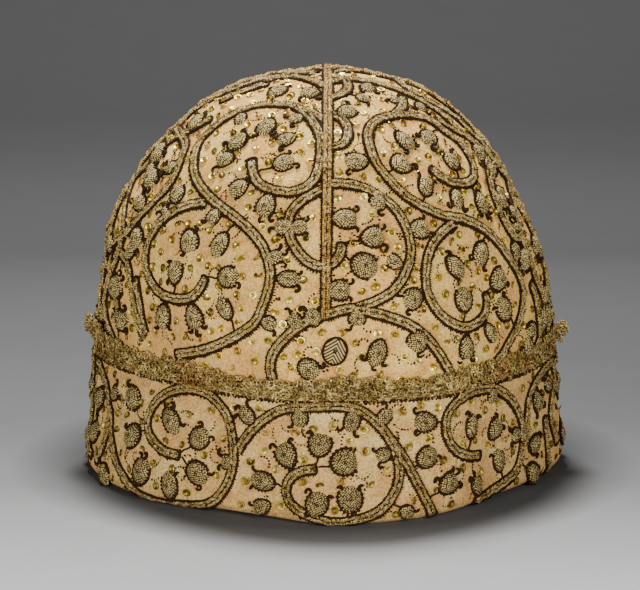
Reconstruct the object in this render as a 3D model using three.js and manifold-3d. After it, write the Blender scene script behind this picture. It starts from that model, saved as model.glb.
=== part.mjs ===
// A man's embroidered linen nightcap of about 1600, standing on its turned-up brim.
// The crown is a dome of four gores, joined by darts at the front, back, left and right.
// Below the darts the linen runs down to a fold on the floor and turns up outside as the brim.
// Metal braids cover the darts, and a band of metal bobbin lace stands on the brim's edge.
// Millimetres, +Z up, the front towards -Y. The origin is on the floor, under the crown's top.
import * as THREE from "three";
import { mergeVertices } from "three/addons/utils/BufferGeometryUtils.js";
import Module from "manifold-3d";

// Crown
const CAP_HEIGHT = 166.5; // floor to the outside of the crown's top
const CROWN_WIDTH = 191.6; // across the side seams, outside the linen, at its widest
const CROWN_DEPTH = 197.4; // from the front seam to the back seam, at the same height
const LINEN = 1.8; // the linen wall, with the silk and metal thread worked through it
const GORE_FLATNESS = 0.05; // how far a gore's middle lies inside the circle through the seams
const DART_END_HEIGHT = 79; // where the four darts stop, above the floor

// Brim
const BRIM_HEIGHT = 48; // floor to the linen's upper edge
const BRIM_STAND_EDGE = 0.9; // clear space between crown and brim at the upper edge
const BRIM_STAND_FOLD = 5.2; // the same space down at the fold
const FOLD_RADIUS = 4.2; // outside radius of the fold that stands on the floor

// Lace
const LACE_HEIGHT = 12.2; // from the brim's edge to the tips of the scallops
const LACE_THICKNESS = 1.4;
const LACE_SCALLOPS = 44;
const SCALLOP_DEPTH = 2.2; // from a tip down to the notch beside it
const LACE_SPRING = 6.5; // how far the lace's tips spring outwards at the side seams
const LACE_SPRING_SPREAD = 11; // degrees to each side over which it does so
const EYELET_WIDTH = 5; // an opening in the lace, along the band
const EYELET_TALL = 4;
const EYELET_LEVEL = 0.4; // its middle, as a share of the lace's height

// Braid over a seam
const BRAID_WIDTH = 4.2;
const BRAID_RISE = 1.3; // how far it stands proud of the linen

const GAP = 0.35; // between pieces that touch on the real cap
const CIRCLE = 360;
const SEAMS = 4;

// The crown's outline from the side, top to hem: shares of CAP_HEIGHT and of half CROWN_WIDTH.
const CROWN_SECTIONS = [
  { height: 1.0, radius: 0.0 },
  { height: 0.9945, radius: 0.145 },
  { height: 0.981, radius: 0.252 },
  { height: 0.955, radius: 0.386 },
  { height: 0.913, radius: 0.528 },
  { height: 0.859, radius: 0.652 },
  { height: 0.799, radius: 0.752 },
  { height: 0.727, radius: 0.836 },
  { height: 0.649, radius: 0.902 },
  { height: 0.571, radius: 0.943 },
  { height: 0.517, radius: 0.957 },
  { height: 0.468, radius: 0.975 },
  { height: 0.408, radius: 0.995 },
  { height: 0.348, radius: 1.0 },
  { height: 0.288, radius: 0.99 },
  { height: 0.15, radius: 0.985 },
  { height: 0.0, radius: 0.985 },
];

// How the soft cap is set, seen from above: 0 is the right seam, 90 the back, 180 the left, 270 the front.
// fold and edge are shares of the round cap's radius at the floor and at the brim's upper edge.
// lift and rise, shares of BRIM_HEIGHT, are how far the fold and the upper edge wave upwards.
const SET = [
  { azimuth: 0, fold: 1.0, edge: 1.0, lift: 0, rise: 0 },
  { azimuth: 22, fold: 0.955, edge: 0.955, lift: 0, rise: 0.004 },
  { azimuth: 45, fold: 0.93, edge: 0.935, lift: 0.017, rise: 0.012 },
  { azimuth: 68, fold: 0.965, edge: 0.95, lift: 0.004, rise: 0.004 },
  { azimuth: 90, fold: 1.0, edge: 0.965, lift: 0, rise: 0 },
  { azimuth: 112, fold: 0.96, edge: 0.95, lift: 0, rise: 0.004 },
  { azimuth: 135, fold: 0.93, edge: 0.935, lift: 0.017, rise: 0.012 },
  { azimuth: 160, fold: 0.96, edge: 0.955, lift: 0, rise: 0 },
  { azimuth: 180, fold: 1.0, edge: 1.0, lift: 0, rise: 0 },
  { azimuth: 203, fold: 0.985, edge: 0.925, lift: 0, rise: 0.01 },
  { azimuth: 223, fold: 0.955, edge: 0.912, lift: 0.008, rise: 0.027 },
  { azimuth: 241, fold: 0.925, edge: 0.918, lift: 0.021, rise: 0.02 },
  { azimuth: 256, fold: 0.94, edge: 0.938, lift: 0.014, rise: 0.004 },
  { azimuth: 270, fold: 1.0, edge: 0.955, lift: 0, rise: 0 },
  { azimuth: 287, fold: 0.998, edge: 0.958, lift: 0, rise: 0 },
  { azimuth: 300, fold: 0.975, edge: 0.975, lift: 0.006, rise: 0 },
  { azimuth: 315, fold: 0.932, edge: 0.94, lift: 0.024, rise: 0.008 },
  { azimuth: 340, fold: 0.945, edge: 0.945, lift: 0.006, rise: 0.004 },
];

// Soft hollows in the crown, or swellings where in is negative: the middle's azimuth and share of
// CAP_HEIGHT, the reach in degrees and in shares of CAP_HEIGHT, and the depth as a share of CROWN_WIDTH.
const DENTS = [
  { azimuth: 180, height: 0.66, wide: 34, tall: 0.1, in: -0.01 },
  { azimuth: 0, height: 0.67, wide: 34, tall: 0.11, in: 0.012 },
  { azimuth: 214, height: 0.45, wide: 13, tall: 0.055, in: 0.009 },
  { azimuth: 322, height: 0.47, wide: 17, tall: 0.06, in: 0.008 },
  { azimuth: 60, height: 0.5, wide: 20, tall: 0.08, in: 0.01 },
  { azimuth: 128, height: 0.72, wide: 24, tall: 0.09, in: 0.01 },
];

const COLUMNS = 64; // facets round the crown and brim, a multiple of the seams
const CROWN_ROWS = 24;
const LINING_ROWS = 13; // the inside of the crown needs fewer
const CURVE_SAMPLES = 400;

const degrees = THREE.MathUtils.degToRad;
const smooth = (x) => THREE.MathUtils.smoothstep(x, 0, 1);
const lerp = THREE.MathUtils.lerp;

// A column of SET at an azimuth, on a smooth closed curve through the rows.
function setAt(column, azimuth) {
  const a = THREE.MathUtils.euclideanModulo(azimuth, CIRCLE);
  const last = SET.length - 1;
  let i = SET.findLastIndex((row) => row.azimuth <= a);
  const row = (k) => SET[THREE.MathUtils.euclideanModulo(k, SET.length)];
  const turn = (k) => CIRCLE * Math.floor(k / SET.length);
  const at = (k) => row(k).azimuth + turn(k);
  const slope = (k) => (row(k + 1)[column] - row(k - 1)[column]) / (at(k + 1) - at(k - 1));
  if (i < 0) i = last;
  const span = at(i + 1) - at(i);
  const t = (a - at(i)) / span;
  const [t2, t3] = [t * t, t * t * t];
  return (
    (2 * t3 - 3 * t2 + 1) * row(i)[column] +
    (t3 - 2 * t2 + t) * span * slope(i) +
    (3 * t2 - 2 * t3) * row(i + 1)[column] +
    (t3 - t2) * span * slope(i + 1)
  );
}

// The share of the round cap's radius that the set cap has at an azimuth and height.
function planShare(azimuth, z) {
  const edge = setAt("edge", azimuth);
  if (z < BRIM_HEIGHT) return lerp(setAt("fold", azimuth), edge, smooth(z / BRIM_HEIGHT));
  const gore = 1 - (GORE_FLATNESS * (1 - Math.cos(degrees(SEAMS * azimuth)))) / 2;
  return lerp(edge, gore, smooth((z - BRIM_HEIGHT) / BRIM_HEIGHT));
}

// How far the linen waves upwards: at the fold by lift, and round the brim's edge by rise.
function waveUp(azimuth, z) {
  const lift = Math.max(0, setAt("lift", azimuth)) * (1 - smooth(z / BRIM_HEIGHT));
  const rise = setAt("rise", azimuth) * smooth(z / BRIM_HEIGHT) * (1 - smooth(z / BRIM_HEIGHT - 1));
  return BRIM_HEIGHT * (lift + rise);
}

// How far the crown is pressed in at an azimuth and height.
function dentAt(azimuth, z) {
  return DENTS.reduce((sum, dent) => {
    const away = THREE.MathUtils.euclideanModulo(azimuth - dent.azimuth + CIRCLE / 2, CIRCLE) - CIRCLE / 2;
    const up = (z - dent.height * CAP_HEIGHT) / (dent.tall * CAP_HEIGHT);
    return sum + dent.in * CROWN_WIDTH * Math.exp(-((away / dent.wide) ** 2) - up ** 2);
  }, 0);
}

// Takes a point of the round cap to where it is on the set cap. Every piece goes through this.
function drape(x, y, z) {
  const radius = Math.hypot(x, y);
  const azimuth = THREE.MathUtils.radToDeg(Math.atan2(y, x));
  const hold = Math.min(1, radius / (CROWN_WIDTH / 4)); // dents fade out towards the top
  const r = radius * planShare(azimuth, z) - dentAt(azimuth, z) * hold;
  return [
    r * Math.cos(degrees(azimuth)),
    (r * Math.sin(degrees(azimuth)) * CROWN_DEPTH) / CROWN_WIDTH,
    z + waveUp(azimuth, z),
  ];
}

function draped(geometry) {
  const p = geometry.getAttribute("position");
  for (let i = 0; i < p.count; i++) p.setXYZ(i, ...drape(p.getX(i), p.getY(i), p.getZ(i)));
  geometry.computeVertexNormals();
  return geometry;
}

// The crown's outline as a curve of points (radius, height), from the top down.
const outline = new THREE.SplineCurve(
  CROWN_SECTIONS.map((s) => new THREE.Vector2((s.radius * CROWN_WIDTH) / 2, s.height * CAP_HEIGHT)),
);
outline.arcLengthDivisions = CURVE_SAMPLES;
const samples = outline.getSpacedPoints(CURVE_SAMPLES);

// The round crown's outside radius at a height.
function crownRadius(z) {
  const i = Math.max(1, samples.findIndex((p) => p.y <= z));
  const [above, below] = [samples[i - 1], samples[i]];
  return lerp(above.x, below.x, (above.y - z) / (above.y - below.y));
}

// Points of the outline down to a height, moved out by a distance square to the outline.
function offsetOutline(rows, lowest, out) {
  const stop = samples.findIndex((p) => p.y <= lowest) / CURVE_SAMPLES;
  return Array.from({ length: rows + 1 }, (_, i) => {
    const u = (stop * i) / rows;
    const p = outline.getPointAt(u);
    const along = outline.getTangentAt(u);
    const onAxis = i === 0;
    return new THREE.Vector2(
      onAxis ? 0 : p.x - along.y * out,
      onAxis ? CAP_HEIGHT + out : i === rows ? lowest : p.y + along.x * out,
    );
  });
}

// Turns a profile of points (radius, height) round the Z axis.
function turned(profile, columns) {
  return new THREE.LatheGeometry(profile, columns).rotateX(Math.PI / 2);
}

function material(color, roughness, metalness) {
  return new THREE.MeshStandardMaterial({ color, roughness, metalness, side: THREE.DoubleSide });
}
const linen = material(0xcfae86, 0.9, 0);
const silverGilt = material(0x8f8058, 0.45, 0.7);
const goldThread = material(0x9a8448, 0.5, 0.6);

function piece(name, geometry, finish) {
  const mesh = new THREE.Mesh(geometry, finish);
  mesh.name = name;
  return mesh;
}

// The dome, open below. Its hem stands on the brim's folded floor.
function crown() {
  const hem = LINEN + GAP;
  const outside = offsetOutline(CROWN_ROWS, hem, 0);
  const inside = offsetOutline(LINING_ROWS, hem, -LINEN);
  return draped(turned([...outside, ...inside.reverse()].reverse(), COLUMNS));
}

// Outside radius of the brim's leaf at a height, before the fold rounds it off.
function leafRadius(z) {
  const stand = lerp(BRIM_STAND_FOLD, BRIM_STAND_EDGE, z / BRIM_HEIGHT);
  return crownRadius(z) + stand + LINEN;
}

// The turned-up leaf, its rounded fold, and the floor of the fold that runs in under the crown.
function brim() {
  const leafHeights = [1, 0.75, 0.5, 0.25].map((s) => lerp(FOLD_RADIUS, BRIM_HEIGHT, s));
  const foldSteps = [0, 1, 2, 3];
  const foldOf = (radius) =>
    foldSteps.map((step) => {
      const turn = degrees((90 * step) / (foldSteps.length - 1));
      return new THREE.Vector2(
        leafRadius(FOLD_RADIUS) - FOLD_RADIUS + radius * Math.cos(turn),
        FOLD_RADIUS - radius * Math.sin(turn),
      );
    });
  const inner = crownRadius(0) - LINEN;
  const outside = [
    ...leafHeights.map((z) => new THREE.Vector2(leafRadius(z), z)),
    ...foldOf(FOLD_RADIUS),
    new THREE.Vector2(inner, 0),
  ];
  const inside = [
    new THREE.Vector2(inner, LINEN),
    ...foldOf(FOLD_RADIUS - LINEN).reverse(),
    ...leafHeights.map((z) => new THREE.Vector2(leafRadius(z) - LINEN, z)).reverse(),
  ];
  return draped(turned([...outside, ...inside, outside[0]].reverse(), COLUMNS));
}

// How far the lace leans out at an azimuth and height: it springs away at the side seams.
function laceLean(azimuth, z) {
  const up = Math.max(0, (z - BRIM_HEIGHT) / LACE_HEIGHT);
  const away = Math.min(Math.abs(azimuth), CIRCLE / 2 - Math.abs(azimuth));
  return LACE_SPRING * up * up * Math.exp(-((away / LACE_SPRING_SPREAD) ** 2));
}

// Leans the lace out, lets its top into scallops, and drapes it.
function setLace(geometry) {
  const p = geometry.getAttribute("position");
  const tipLine = BRIM_HEIGHT + LACE_HEIGHT;
  for (let i = 0; i < p.count; i++) {
    const [x, y, z] = [p.getX(i), p.getY(i), p.getZ(i)];
    const angle = Math.atan2(y, x);
    const azimuth = THREE.MathUtils.radToDeg(angle);
    const notch = SCALLOP_DEPTH * (1 - Math.abs(Math.sin((LACE_SCALLOPS * angle) / 2)));
    const share = Math.max(0, (z - BRIM_HEIGHT - LACE_HEIGHT / 2) / (LACE_HEIGHT / 2));
    const top = Math.min(z, tipLine) - notch * share;
    const radius = crownRadius(top) + Math.hypot(x, y) - crownRadius(z) + laceLean(azimuth, top);
    p.setXYZ(i, ...drape(radius * Math.cos(angle), radius * Math.sin(angle), top));
  }
  geometry.computeVertexNormals();
  return geometry;
}

// The lace band: a ring that leans on the crown above the brim, pierced by an eyelet in each scallop.
async function lace() {
  const wasm = await Module();
  wasm.setup();
  const heights = [0, 0.5, 1].map((s) => lerp(BRIM_HEIGHT + GAP, BRIM_HEIGHT + LACE_HEIGHT, s));
  const backs = heights.map((z) => new THREE.Vector2(crownRadius(z) + GAP, z));
  const fronts = heights.map((z) => new THREE.Vector2(crownRadius(z) + GAP + LACE_THICKNESS, z)).reverse();
  const samplesPerScallop = 4;
  const band = turned([...backs, ...fronts, backs[0]].reverse(), LACE_SCALLOPS * samplesPerScallop);
  const solidOf = (geometry) => {
    const bare = geometry.index ? geometry : mergeVertices(geometry);
    bare.deleteAttribute("normal");
    bare.deleteAttribute("uv");
    const merged = mergeVertices(bare);
    const vertProperties = merged.getAttribute("position").array;
    const triVerts = new Uint32Array(merged.index.array);
    return new wasm.Manifold(new wasm.Mesh({ numProp: 3, vertProperties, triVerts }));
  };
  let solid = solidOf(band);
  for (let i = 0; i < LACE_SCALLOPS; i++) {
    const angle = (2 * Math.PI * (i + 0.5)) / LACE_SCALLOPS;
    const z = BRIM_HEIGHT + EYELET_LEVEL * LACE_HEIGHT;
    const cutter = new THREE.CylinderGeometry(0.5, 0.5, LACE_THICKNESS * 6, 4);
    cutter.scale(EYELET_TALL, 1, EYELET_WIDTH);
    cutter.rotateZ(-Math.PI / 2);
    cutter.translate(crownRadius(z), 0, z);
    cutter.rotateZ(angle);
    solid = solid.subtract(solidOf(cutter));
  }
  const mesh = solid.getMesh();
  const pierced = new THREE.BufferGeometry();
  pierced.setAttribute("position", new THREE.BufferAttribute(new Float32Array(mesh.vertProperties), 3));
  pierced.setIndex(new THREE.BufferAttribute(new Uint32Array(mesh.triVerts), 1));
  return setLace(pierced);
}

// A closed solid through rings of points, each with the same number, with flat ends.
function lofted(rings) {
  const count = rings[0].length;
  const faces = [];
  for (let i = 0; i + 1 < rings.length; i++)
    for (let k = 0; k < count; k++) {
      const [a, b] = [i * count + k, i * count + ((k + 1) % count)];
      faces.push(a, b + count, b, a, a + count, b + count);
    }
  const last = (rings.length - 1) * count;
  for (let k = 1; k + 1 < count; k++) {
    faces.push(0, k, k + 1);
    faces.push(last, last + k + 1, last + k);
  }
  const geometry = new THREE.BufferGeometry();
  const points = rings.flat().flatMap((p) => [p.x, p.y, p.z]);
  geometry.setAttribute("position", new THREE.Float32BufferAttribute(points, 3));
  geometry.setIndex(faces);
  return geometry;
}

// A braid along stations of the crown's outline. A station's reach is its distance from the axis,
// negative past the top. The section is flat below and rounded above.
const BRAID_SECTION = [
  { across: -0.5, up: 0 },
  { across: -0.5, up: 0.6 },
  { across: -0.22, up: 1 },
  { across: 0.22, up: 1 },
  { across: 0.5, up: 0.6 },
  { across: 0.5, up: 0 },
];
function braid(azimuth, stations) {
  const angle = degrees(azimuth);
  const outward = new THREE.Vector3(Math.cos(angle), Math.sin(angle), 0);
  const sideways = new THREE.Vector3(-Math.sin(angle), Math.cos(angle), 0);
  const rings = stations.map(({ reach, z, normal }) =>
    BRAID_SECTION.map(({ across, up }) => {
      const out = GAP + up * BRAID_RISE;
      return new THREE.Vector3(0, 0, z + normal.y * out)
        .addScaledVector(outward, reach + normal.x * out)
        .addScaledVector(sideways, across * BRAID_WIDTH);
    }),
  );
  return draped(lofted(rings));
}

// Stations down one side of the crown, from a distance off the axis to the end of the dart.
function stationsFrom(reach) {
  const start = samples.findIndex((p) => p.x >= reach) / CURVE_SAMPLES;
  const end = samples.findIndex((p) => p.y <= DART_END_HEIGHT) / CURVE_SAMPLES;
  const rows = 16;
  return Array.from({ length: rows + 1 }, (_, i) => {
    const u = lerp(start, end, i / rows);
    const p = outline.getPointAt(u);
    const along = outline.getTangentAt(u);
    return { reach: p.x, z: p.y, normal: new THREE.Vector2(-along.y, along.x) };
  });
}

// One braid runs over the top from the front dart to the back one, and the side braids meet it.
function longBraid() {
  const down = stationsFrom(BRAID_WIDTH / 2);
  const other = down.map(({ reach, z, normal }) => ({
    reach: -reach,
    z,
    normal: new THREE.Vector2(-normal.x, normal.y),
  }));
  return braid(90, [...other.reverse(), ...down]);
}
function sideBraid(azimuth) {
  return braid(azimuth, stationsFrom(BRAID_WIDTH / 2 + GAP));
}

const cap = new THREE.Group();
cap.add(
  piece("crown", crown(), linen),
  piece("brim", brim(), linen),
  piece("lace_edging", await lace(), goldThread),
  piece("seam_braid_front_back", longBraid(), silverGilt),
  piece("seam_braid_left", sideBraid(180), silverGilt),
  piece("seam_braid_right", sideBraid(0), silverGilt),
);

export default cap;
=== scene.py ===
"""A man's embroidered linen nightcap of about 1600, standing on its turned-up brim.

The linen is laid smoothly over the frame's crown and brim. Everything worked on it, the
coiling stems, fruits, spangles and stitches, is charted by where it shows in the photograph,
cast from the camera onto the linen, and repeated half a turn round for the back.
"""
import math

import bpy
import numpy as np
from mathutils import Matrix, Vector
from mathutils.bvhtree import BVHTree
from mathutils.kdtree import KDTree


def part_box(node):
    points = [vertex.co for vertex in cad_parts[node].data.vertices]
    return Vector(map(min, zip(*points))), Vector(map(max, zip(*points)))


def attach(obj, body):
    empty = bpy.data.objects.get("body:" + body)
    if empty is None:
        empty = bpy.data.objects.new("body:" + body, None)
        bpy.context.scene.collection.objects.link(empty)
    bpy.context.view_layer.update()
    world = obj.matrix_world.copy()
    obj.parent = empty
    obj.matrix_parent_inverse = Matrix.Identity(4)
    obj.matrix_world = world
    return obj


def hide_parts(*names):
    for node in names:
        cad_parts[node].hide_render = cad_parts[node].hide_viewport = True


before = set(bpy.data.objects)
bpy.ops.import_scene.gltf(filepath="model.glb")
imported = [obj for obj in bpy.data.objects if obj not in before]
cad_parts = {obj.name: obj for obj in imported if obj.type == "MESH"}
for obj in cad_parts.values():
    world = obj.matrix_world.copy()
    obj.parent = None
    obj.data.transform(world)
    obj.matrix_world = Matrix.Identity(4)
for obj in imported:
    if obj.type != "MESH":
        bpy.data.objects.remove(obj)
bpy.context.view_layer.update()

MM = 0.001
UP = np.array([0.0, 0.0, 1.0])
INSIDE = UP * 40 * MM  # a place in the hollow, from which outwards is told

# Camera: how the photograph was taken, fitted to the cap's outline.
PICTURE_WIDTH = 640
PICTURE_HEIGHT = 590
SENSOR = 36.0  # millimetres
FOCAL_PIXELS = 2507.7
CAMERA_ELEVATION = math.radians(11)
CAMERA_DISTANCE = 1.06  # metres
CAMERA_AIM = np.array([-2.1, 0, 71.2]) * MM
CAP_MIDDLE = (325, 290)  # the pixel at the middle of the cap
EDGE_STEPS = 14  # pixels by which a charted point may be off the linen's edge

# Linen
COLUMNS = 64  # the frame's own facets round the cap
FINE = 6  # the linen's columns for each of them
LEAN_STEP = 3.0  # degrees between the dome's rays
WALL_LEVELS = 15  # below the dome
BRIM_LEVELS = 12
FOLD_STEPS = 7
LINING_STEP = 4  # the crown's inside has every fourth row and column
LINEN = 1.8 * MM
CROWN_CENTRE = 75 * MM  # rays from here sample the dome, and level rays the wall below it
FOLD_RADIUS = 4.2 * MM
WOBBLE = 0.6 * MM  # how uneven the old linen lies
FLOOR_GAP = 2.5 * MM  # no stitch lies lower than this

# Embroidery
STEM_WIDTH = 3.5 * MM
STEM_RISE = 1.15 * MM
STEM_GROOVE = 0.58  # height of a braid's middle groove as a share of its ridges'
RIDGE = 0.27  # how far a braid's ridges are from its middle, as a share of its width
ROW = 0.5 * MM  # along a braid, from one row of its points to the next
STITCH = 0.88 * MM  # along a braid, from one stitch to the next
SEAM_WIDTH = 3.7 * MM
SEAM_RISE = 1.75 * MM
SEAM_GROOVE = 0.72
CROWN_SILK = 1.1 * MM  # reach of the black silk's teeth beside a stem
BRIM_SILK = 0.95 * MM
SEAM_SILK = 0.9 * MM
SEAM_LEAN = 1.2 * MM  # how far the front seam stands to the right at the top of the cap
SEAM_SHIFT = 4.2  # pixels by which the photographed seam leans further, taken off the chart beside it
FRUIT_RADIUS = 4.9 * MM
FRUIT_RISE = 2.2 * MM
FRUIT_WIDTH = 0.86  # a fruit's width as a share of its length
FRUIT_RIM = 0.7 * MM  # width of the black line round a fruit
FRUIT_CLEAR = 1.1 * MM  # from a fruit to the spangles and dotted stitches beside it
LEAF_RADIUS = 5.1 * MM
LEAF_RISE = 0.25  # as a share of its radius
BEAD = 0.78 * MM  # from one loop of a fruit's stitching to the next
SPANGLE_RADIUS = 1.66 * MM
SPANGLE_TILT = 0.26  # how unevenly the spangles lie
STEM_CLEAR = 1.9 * MM  # from a stem to the middle of a spangle
SPANGLE_SPACING = 5.9 * MM
BRIM_SPANGLE_SPACING = 8.2 * MM
CORD_SECTION = [(-0.5, 0), (-0.3, 0.7), (0.3, 0.7), (0.5, 0)]  # across and up, in cord widths

# Small stitches: length, width and height
PLAIT_STITCH = (1.1 * MM, 0.4 * MM, 0.42 * MM)
RIM_TOOTH = (1.45 * MM, 0.7 * MM, 0.65 * MM)
DOT_STITCH = (0.92 * MM, 0.74 * MM, 0.34 * MM)
SPANGLE_STITCH = (1.5 * MM, 0.36 * MM, 0.34 * MM)

# Lace
LACE_HEIGHT = 11 * MM
LACE_SCALLOPS = 44
LACE_THREAD = 0.4 * MM
LOOP_RADIUS = 0.72 * MM
LOOP_THREAD = 0.3 * MM
LOOP_STEP = 2.6 * MM  # from one loop to the next, round the band
TWIST_STEP = 2.3 * MM  # from one twist of thread to the next
LACE_ROW = 1.2 * MM  # from one row of twists to the next
LACE_PROUD = 0.8 * MM  # how far the band stands off the crown
LACE_SPRING = 3.6 * MM  # how far its edge springs out at the side seams
LACE_RUFFLE = 0.8 * MM
# Where the lace is bunched: angle and spread in radians, and how much higher it is there
LEFT_BUNCH = (math.pi + 0.1, 0.18, 8 * MM)
RIGHT_BUNCH = (-0.06, 0.12, 4 * MM)
# The frayed ends of each bunch: how many, and their length
FRAYS = [(LEFT_BUNCH, 60, 2.2 * MM), (RIGHT_BUNCH, 90, 3.6 * MM)]
# Threads that run up and down the band: period, lowest and highest share of the band's height,
# phase in radians, distance from the crown, and how uneven they are
ZIGZAGS = [
    (4.9 * MM, 0.02, 0.97, 0.0, 0.3 * MM, 0.14),
    (6.3 * MM, 0.0, 0.85, 1.3, 0.5 * MM, 0.2),
    (5.2 * MM, 0.35, 0.66, 2.1, 0.7 * MM, 0.12),
    (4.1 * MM, 0.04, 0.2, 0.6, 0.8 * MM, 0.12),
]

rng = np.random.default_rng(1600)


def unit(v):
    """Vectors made one long, along the last axis."""
    return v / np.maximum(np.linalg.norm(v, axis=-1, keepdims=True), 1e-12)


def ring_angles(around):
    """Angles in radians at even steps round a ring."""
    return np.arange(around) * 2 * math.pi / around


def circle(turn, radius=1.0):
    """Points of a level circle at angles in radians."""
    return np.stack([np.cos(turn), np.sin(turn), 0 * turn], axis=-1) * radius


def plane_direction(angle):
    return np.array([math.cos(angle), math.sin(angle)])


def smoothed(values, passes, wrap):
    """Values averaged with their neighbours along the first axis."""
    for _ in range(passes):
        if wrap:
            before, after = np.roll(values, 1, axis=0), np.roll(values, -1, axis=0)
        else:
            before = np.concatenate([values[:1], values[:-1]])
            after = np.concatenate([values[1:], values[-1:]])
        values = 0.25 * before + 0.5 * values + 0.25 * after
    return values


def upsampled(values, factor, wrap):
    """A smooth curve through the rows of values, with factor steps from each row to the next."""
    count = len(values)
    index = np.arange(count if wrap else count - 1)
    pick = (lambda k: values[k % count]) if wrap else (lambda k: values[np.clip(k, 0, count - 1)])
    p0, p1, p2, p3 = pick(index - 1), pick(index), pick(index + 1), pick(index + 2)
    rows = []
    for step in range(factor):
        t = step / factor
        rows.append(
            0.5 * (2 * p1 + (p2 - p0) * t + (2 * p0 - 5 * p1 + 4 * p2 - p3) * t**2
                   + (3 * p1 - p0 - 3 * p2 + p3) * t**3)
        )
    out = np.stack(rows, axis=1).reshape(-1, *values.shape[1:])
    return out if wrap else np.concatenate([out, values[-1:]])


def make_waves(count, shortest, longest):
    """Plane waves that add up to a smooth noise of about 1 either way."""
    directions = unit(rng.normal(size=(count, 3)))
    lengths = rng.uniform(shortest, longest, size=(count, 1))
    return directions * 2 * math.pi / lengths, rng.uniform(0, 2 * math.pi, size=count)


def noise(points, waves):
    """The noise at points."""
    turns, phases = waves
    return np.sin(points @ turns.T + phases).sum(axis=-1) / math.sqrt(len(phases) / 2) / 2


# Meshes


def mesh_piece(name, part, finish):
    """A piece from a part: points, a list of face arrays and, where it has them, UVs.

    What would dip under the floor is pressed flat.
    """
    mesh = bpy.data.meshes.new(name)
    points, faces = np.array(part[0]), part[1]
    uv = part[2] if len(part) > 2 else None
    points[:, 2] = np.maximum(points[:, 2], 0.0)
    sizes = np.concatenate([np.full(len(f), f.shape[1]) for f in faces])
    corners = np.concatenate([f.ravel() for f in faces]).astype(np.int32)
    starts = np.concatenate([[0], np.cumsum(sizes)[:-1]]).astype(np.int32)
    mesh.vertices.add(len(points))
    mesh.vertices.foreach_set("co", np.asarray(points, np.float32).ravel())
    mesh.loops.add(len(corners))
    mesh.loops.foreach_set("vertex_index", corners)
    mesh.polygons.add(len(sizes))
    mesh.polygons.foreach_set("loop_start", starts)
    mesh.polygons.foreach_set("use_smooth", np.full(len(sizes), True))
    if uv is not None:
        layer = mesh.uv_layers.new(name="UVMap")
        layer.data.foreach_set("uv", np.asarray(uv, np.float32)[corners].ravel())
    mesh.update(calc_edges=True)
    mesh.validate()
    mesh.materials.append(finish)
    obj = bpy.data.objects.new(name, mesh)
    bpy.context.scene.collection.objects.link(obj)
    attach(obj, "root")
    return obj


def grid_faces(rows, columns, wrap=True):
    """Quads of a grid whose points run along each row in turn."""
    i = np.arange(rows - 1)[:, None]
    j = np.arange(columns if wrap else columns - 1)[None, :]
    k = (j + 1) % columns
    a, b = i * columns + j, i * columns + k
    return np.stack([a, a + columns, b + columns, b], axis=-1).reshape(-1, 4)


def grid_part(rows, wrap=True):
    """A grid of points as a part."""
    return rows.reshape(-1, 3), [grid_faces(*rows.shape[:2], wrap)]


def copies(template, places, axes, scales=1.0):
    """A template's points and faces set down at each place, by the axes there."""
    points, faces = template
    scales = np.broadcast_to(np.asarray(scales, float), (len(places),))
    moved = np.einsum("pk,nkc->npc", points, axes) * scales[:, None, None] + places[:, None, :]
    shift = (np.arange(len(places)) * len(points))[:, None, None]
    return moved.reshape(-1, 3), [(f[None] + shift).reshape(-1, f.shape[1]) for f in faces]


def merged(parts):
    """Several parts as one."""
    points, faces, uvs, start = [], [], [], 0
    for part in parts:
        points.append(part[0])
        faces += [f + start for f in part[1]]
        if len(part) > 2:
            uvs.append(part[2])
        start += len(part[0])
    return np.concatenate(points), faces, (np.concatenate(uvs) if uvs else None)


def surface_tree(rows):
    points, faces = grid_part(rows)
    return BVHTree.FromPolygons(points.tolist(), faces[0].tolist())


# Materials


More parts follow.
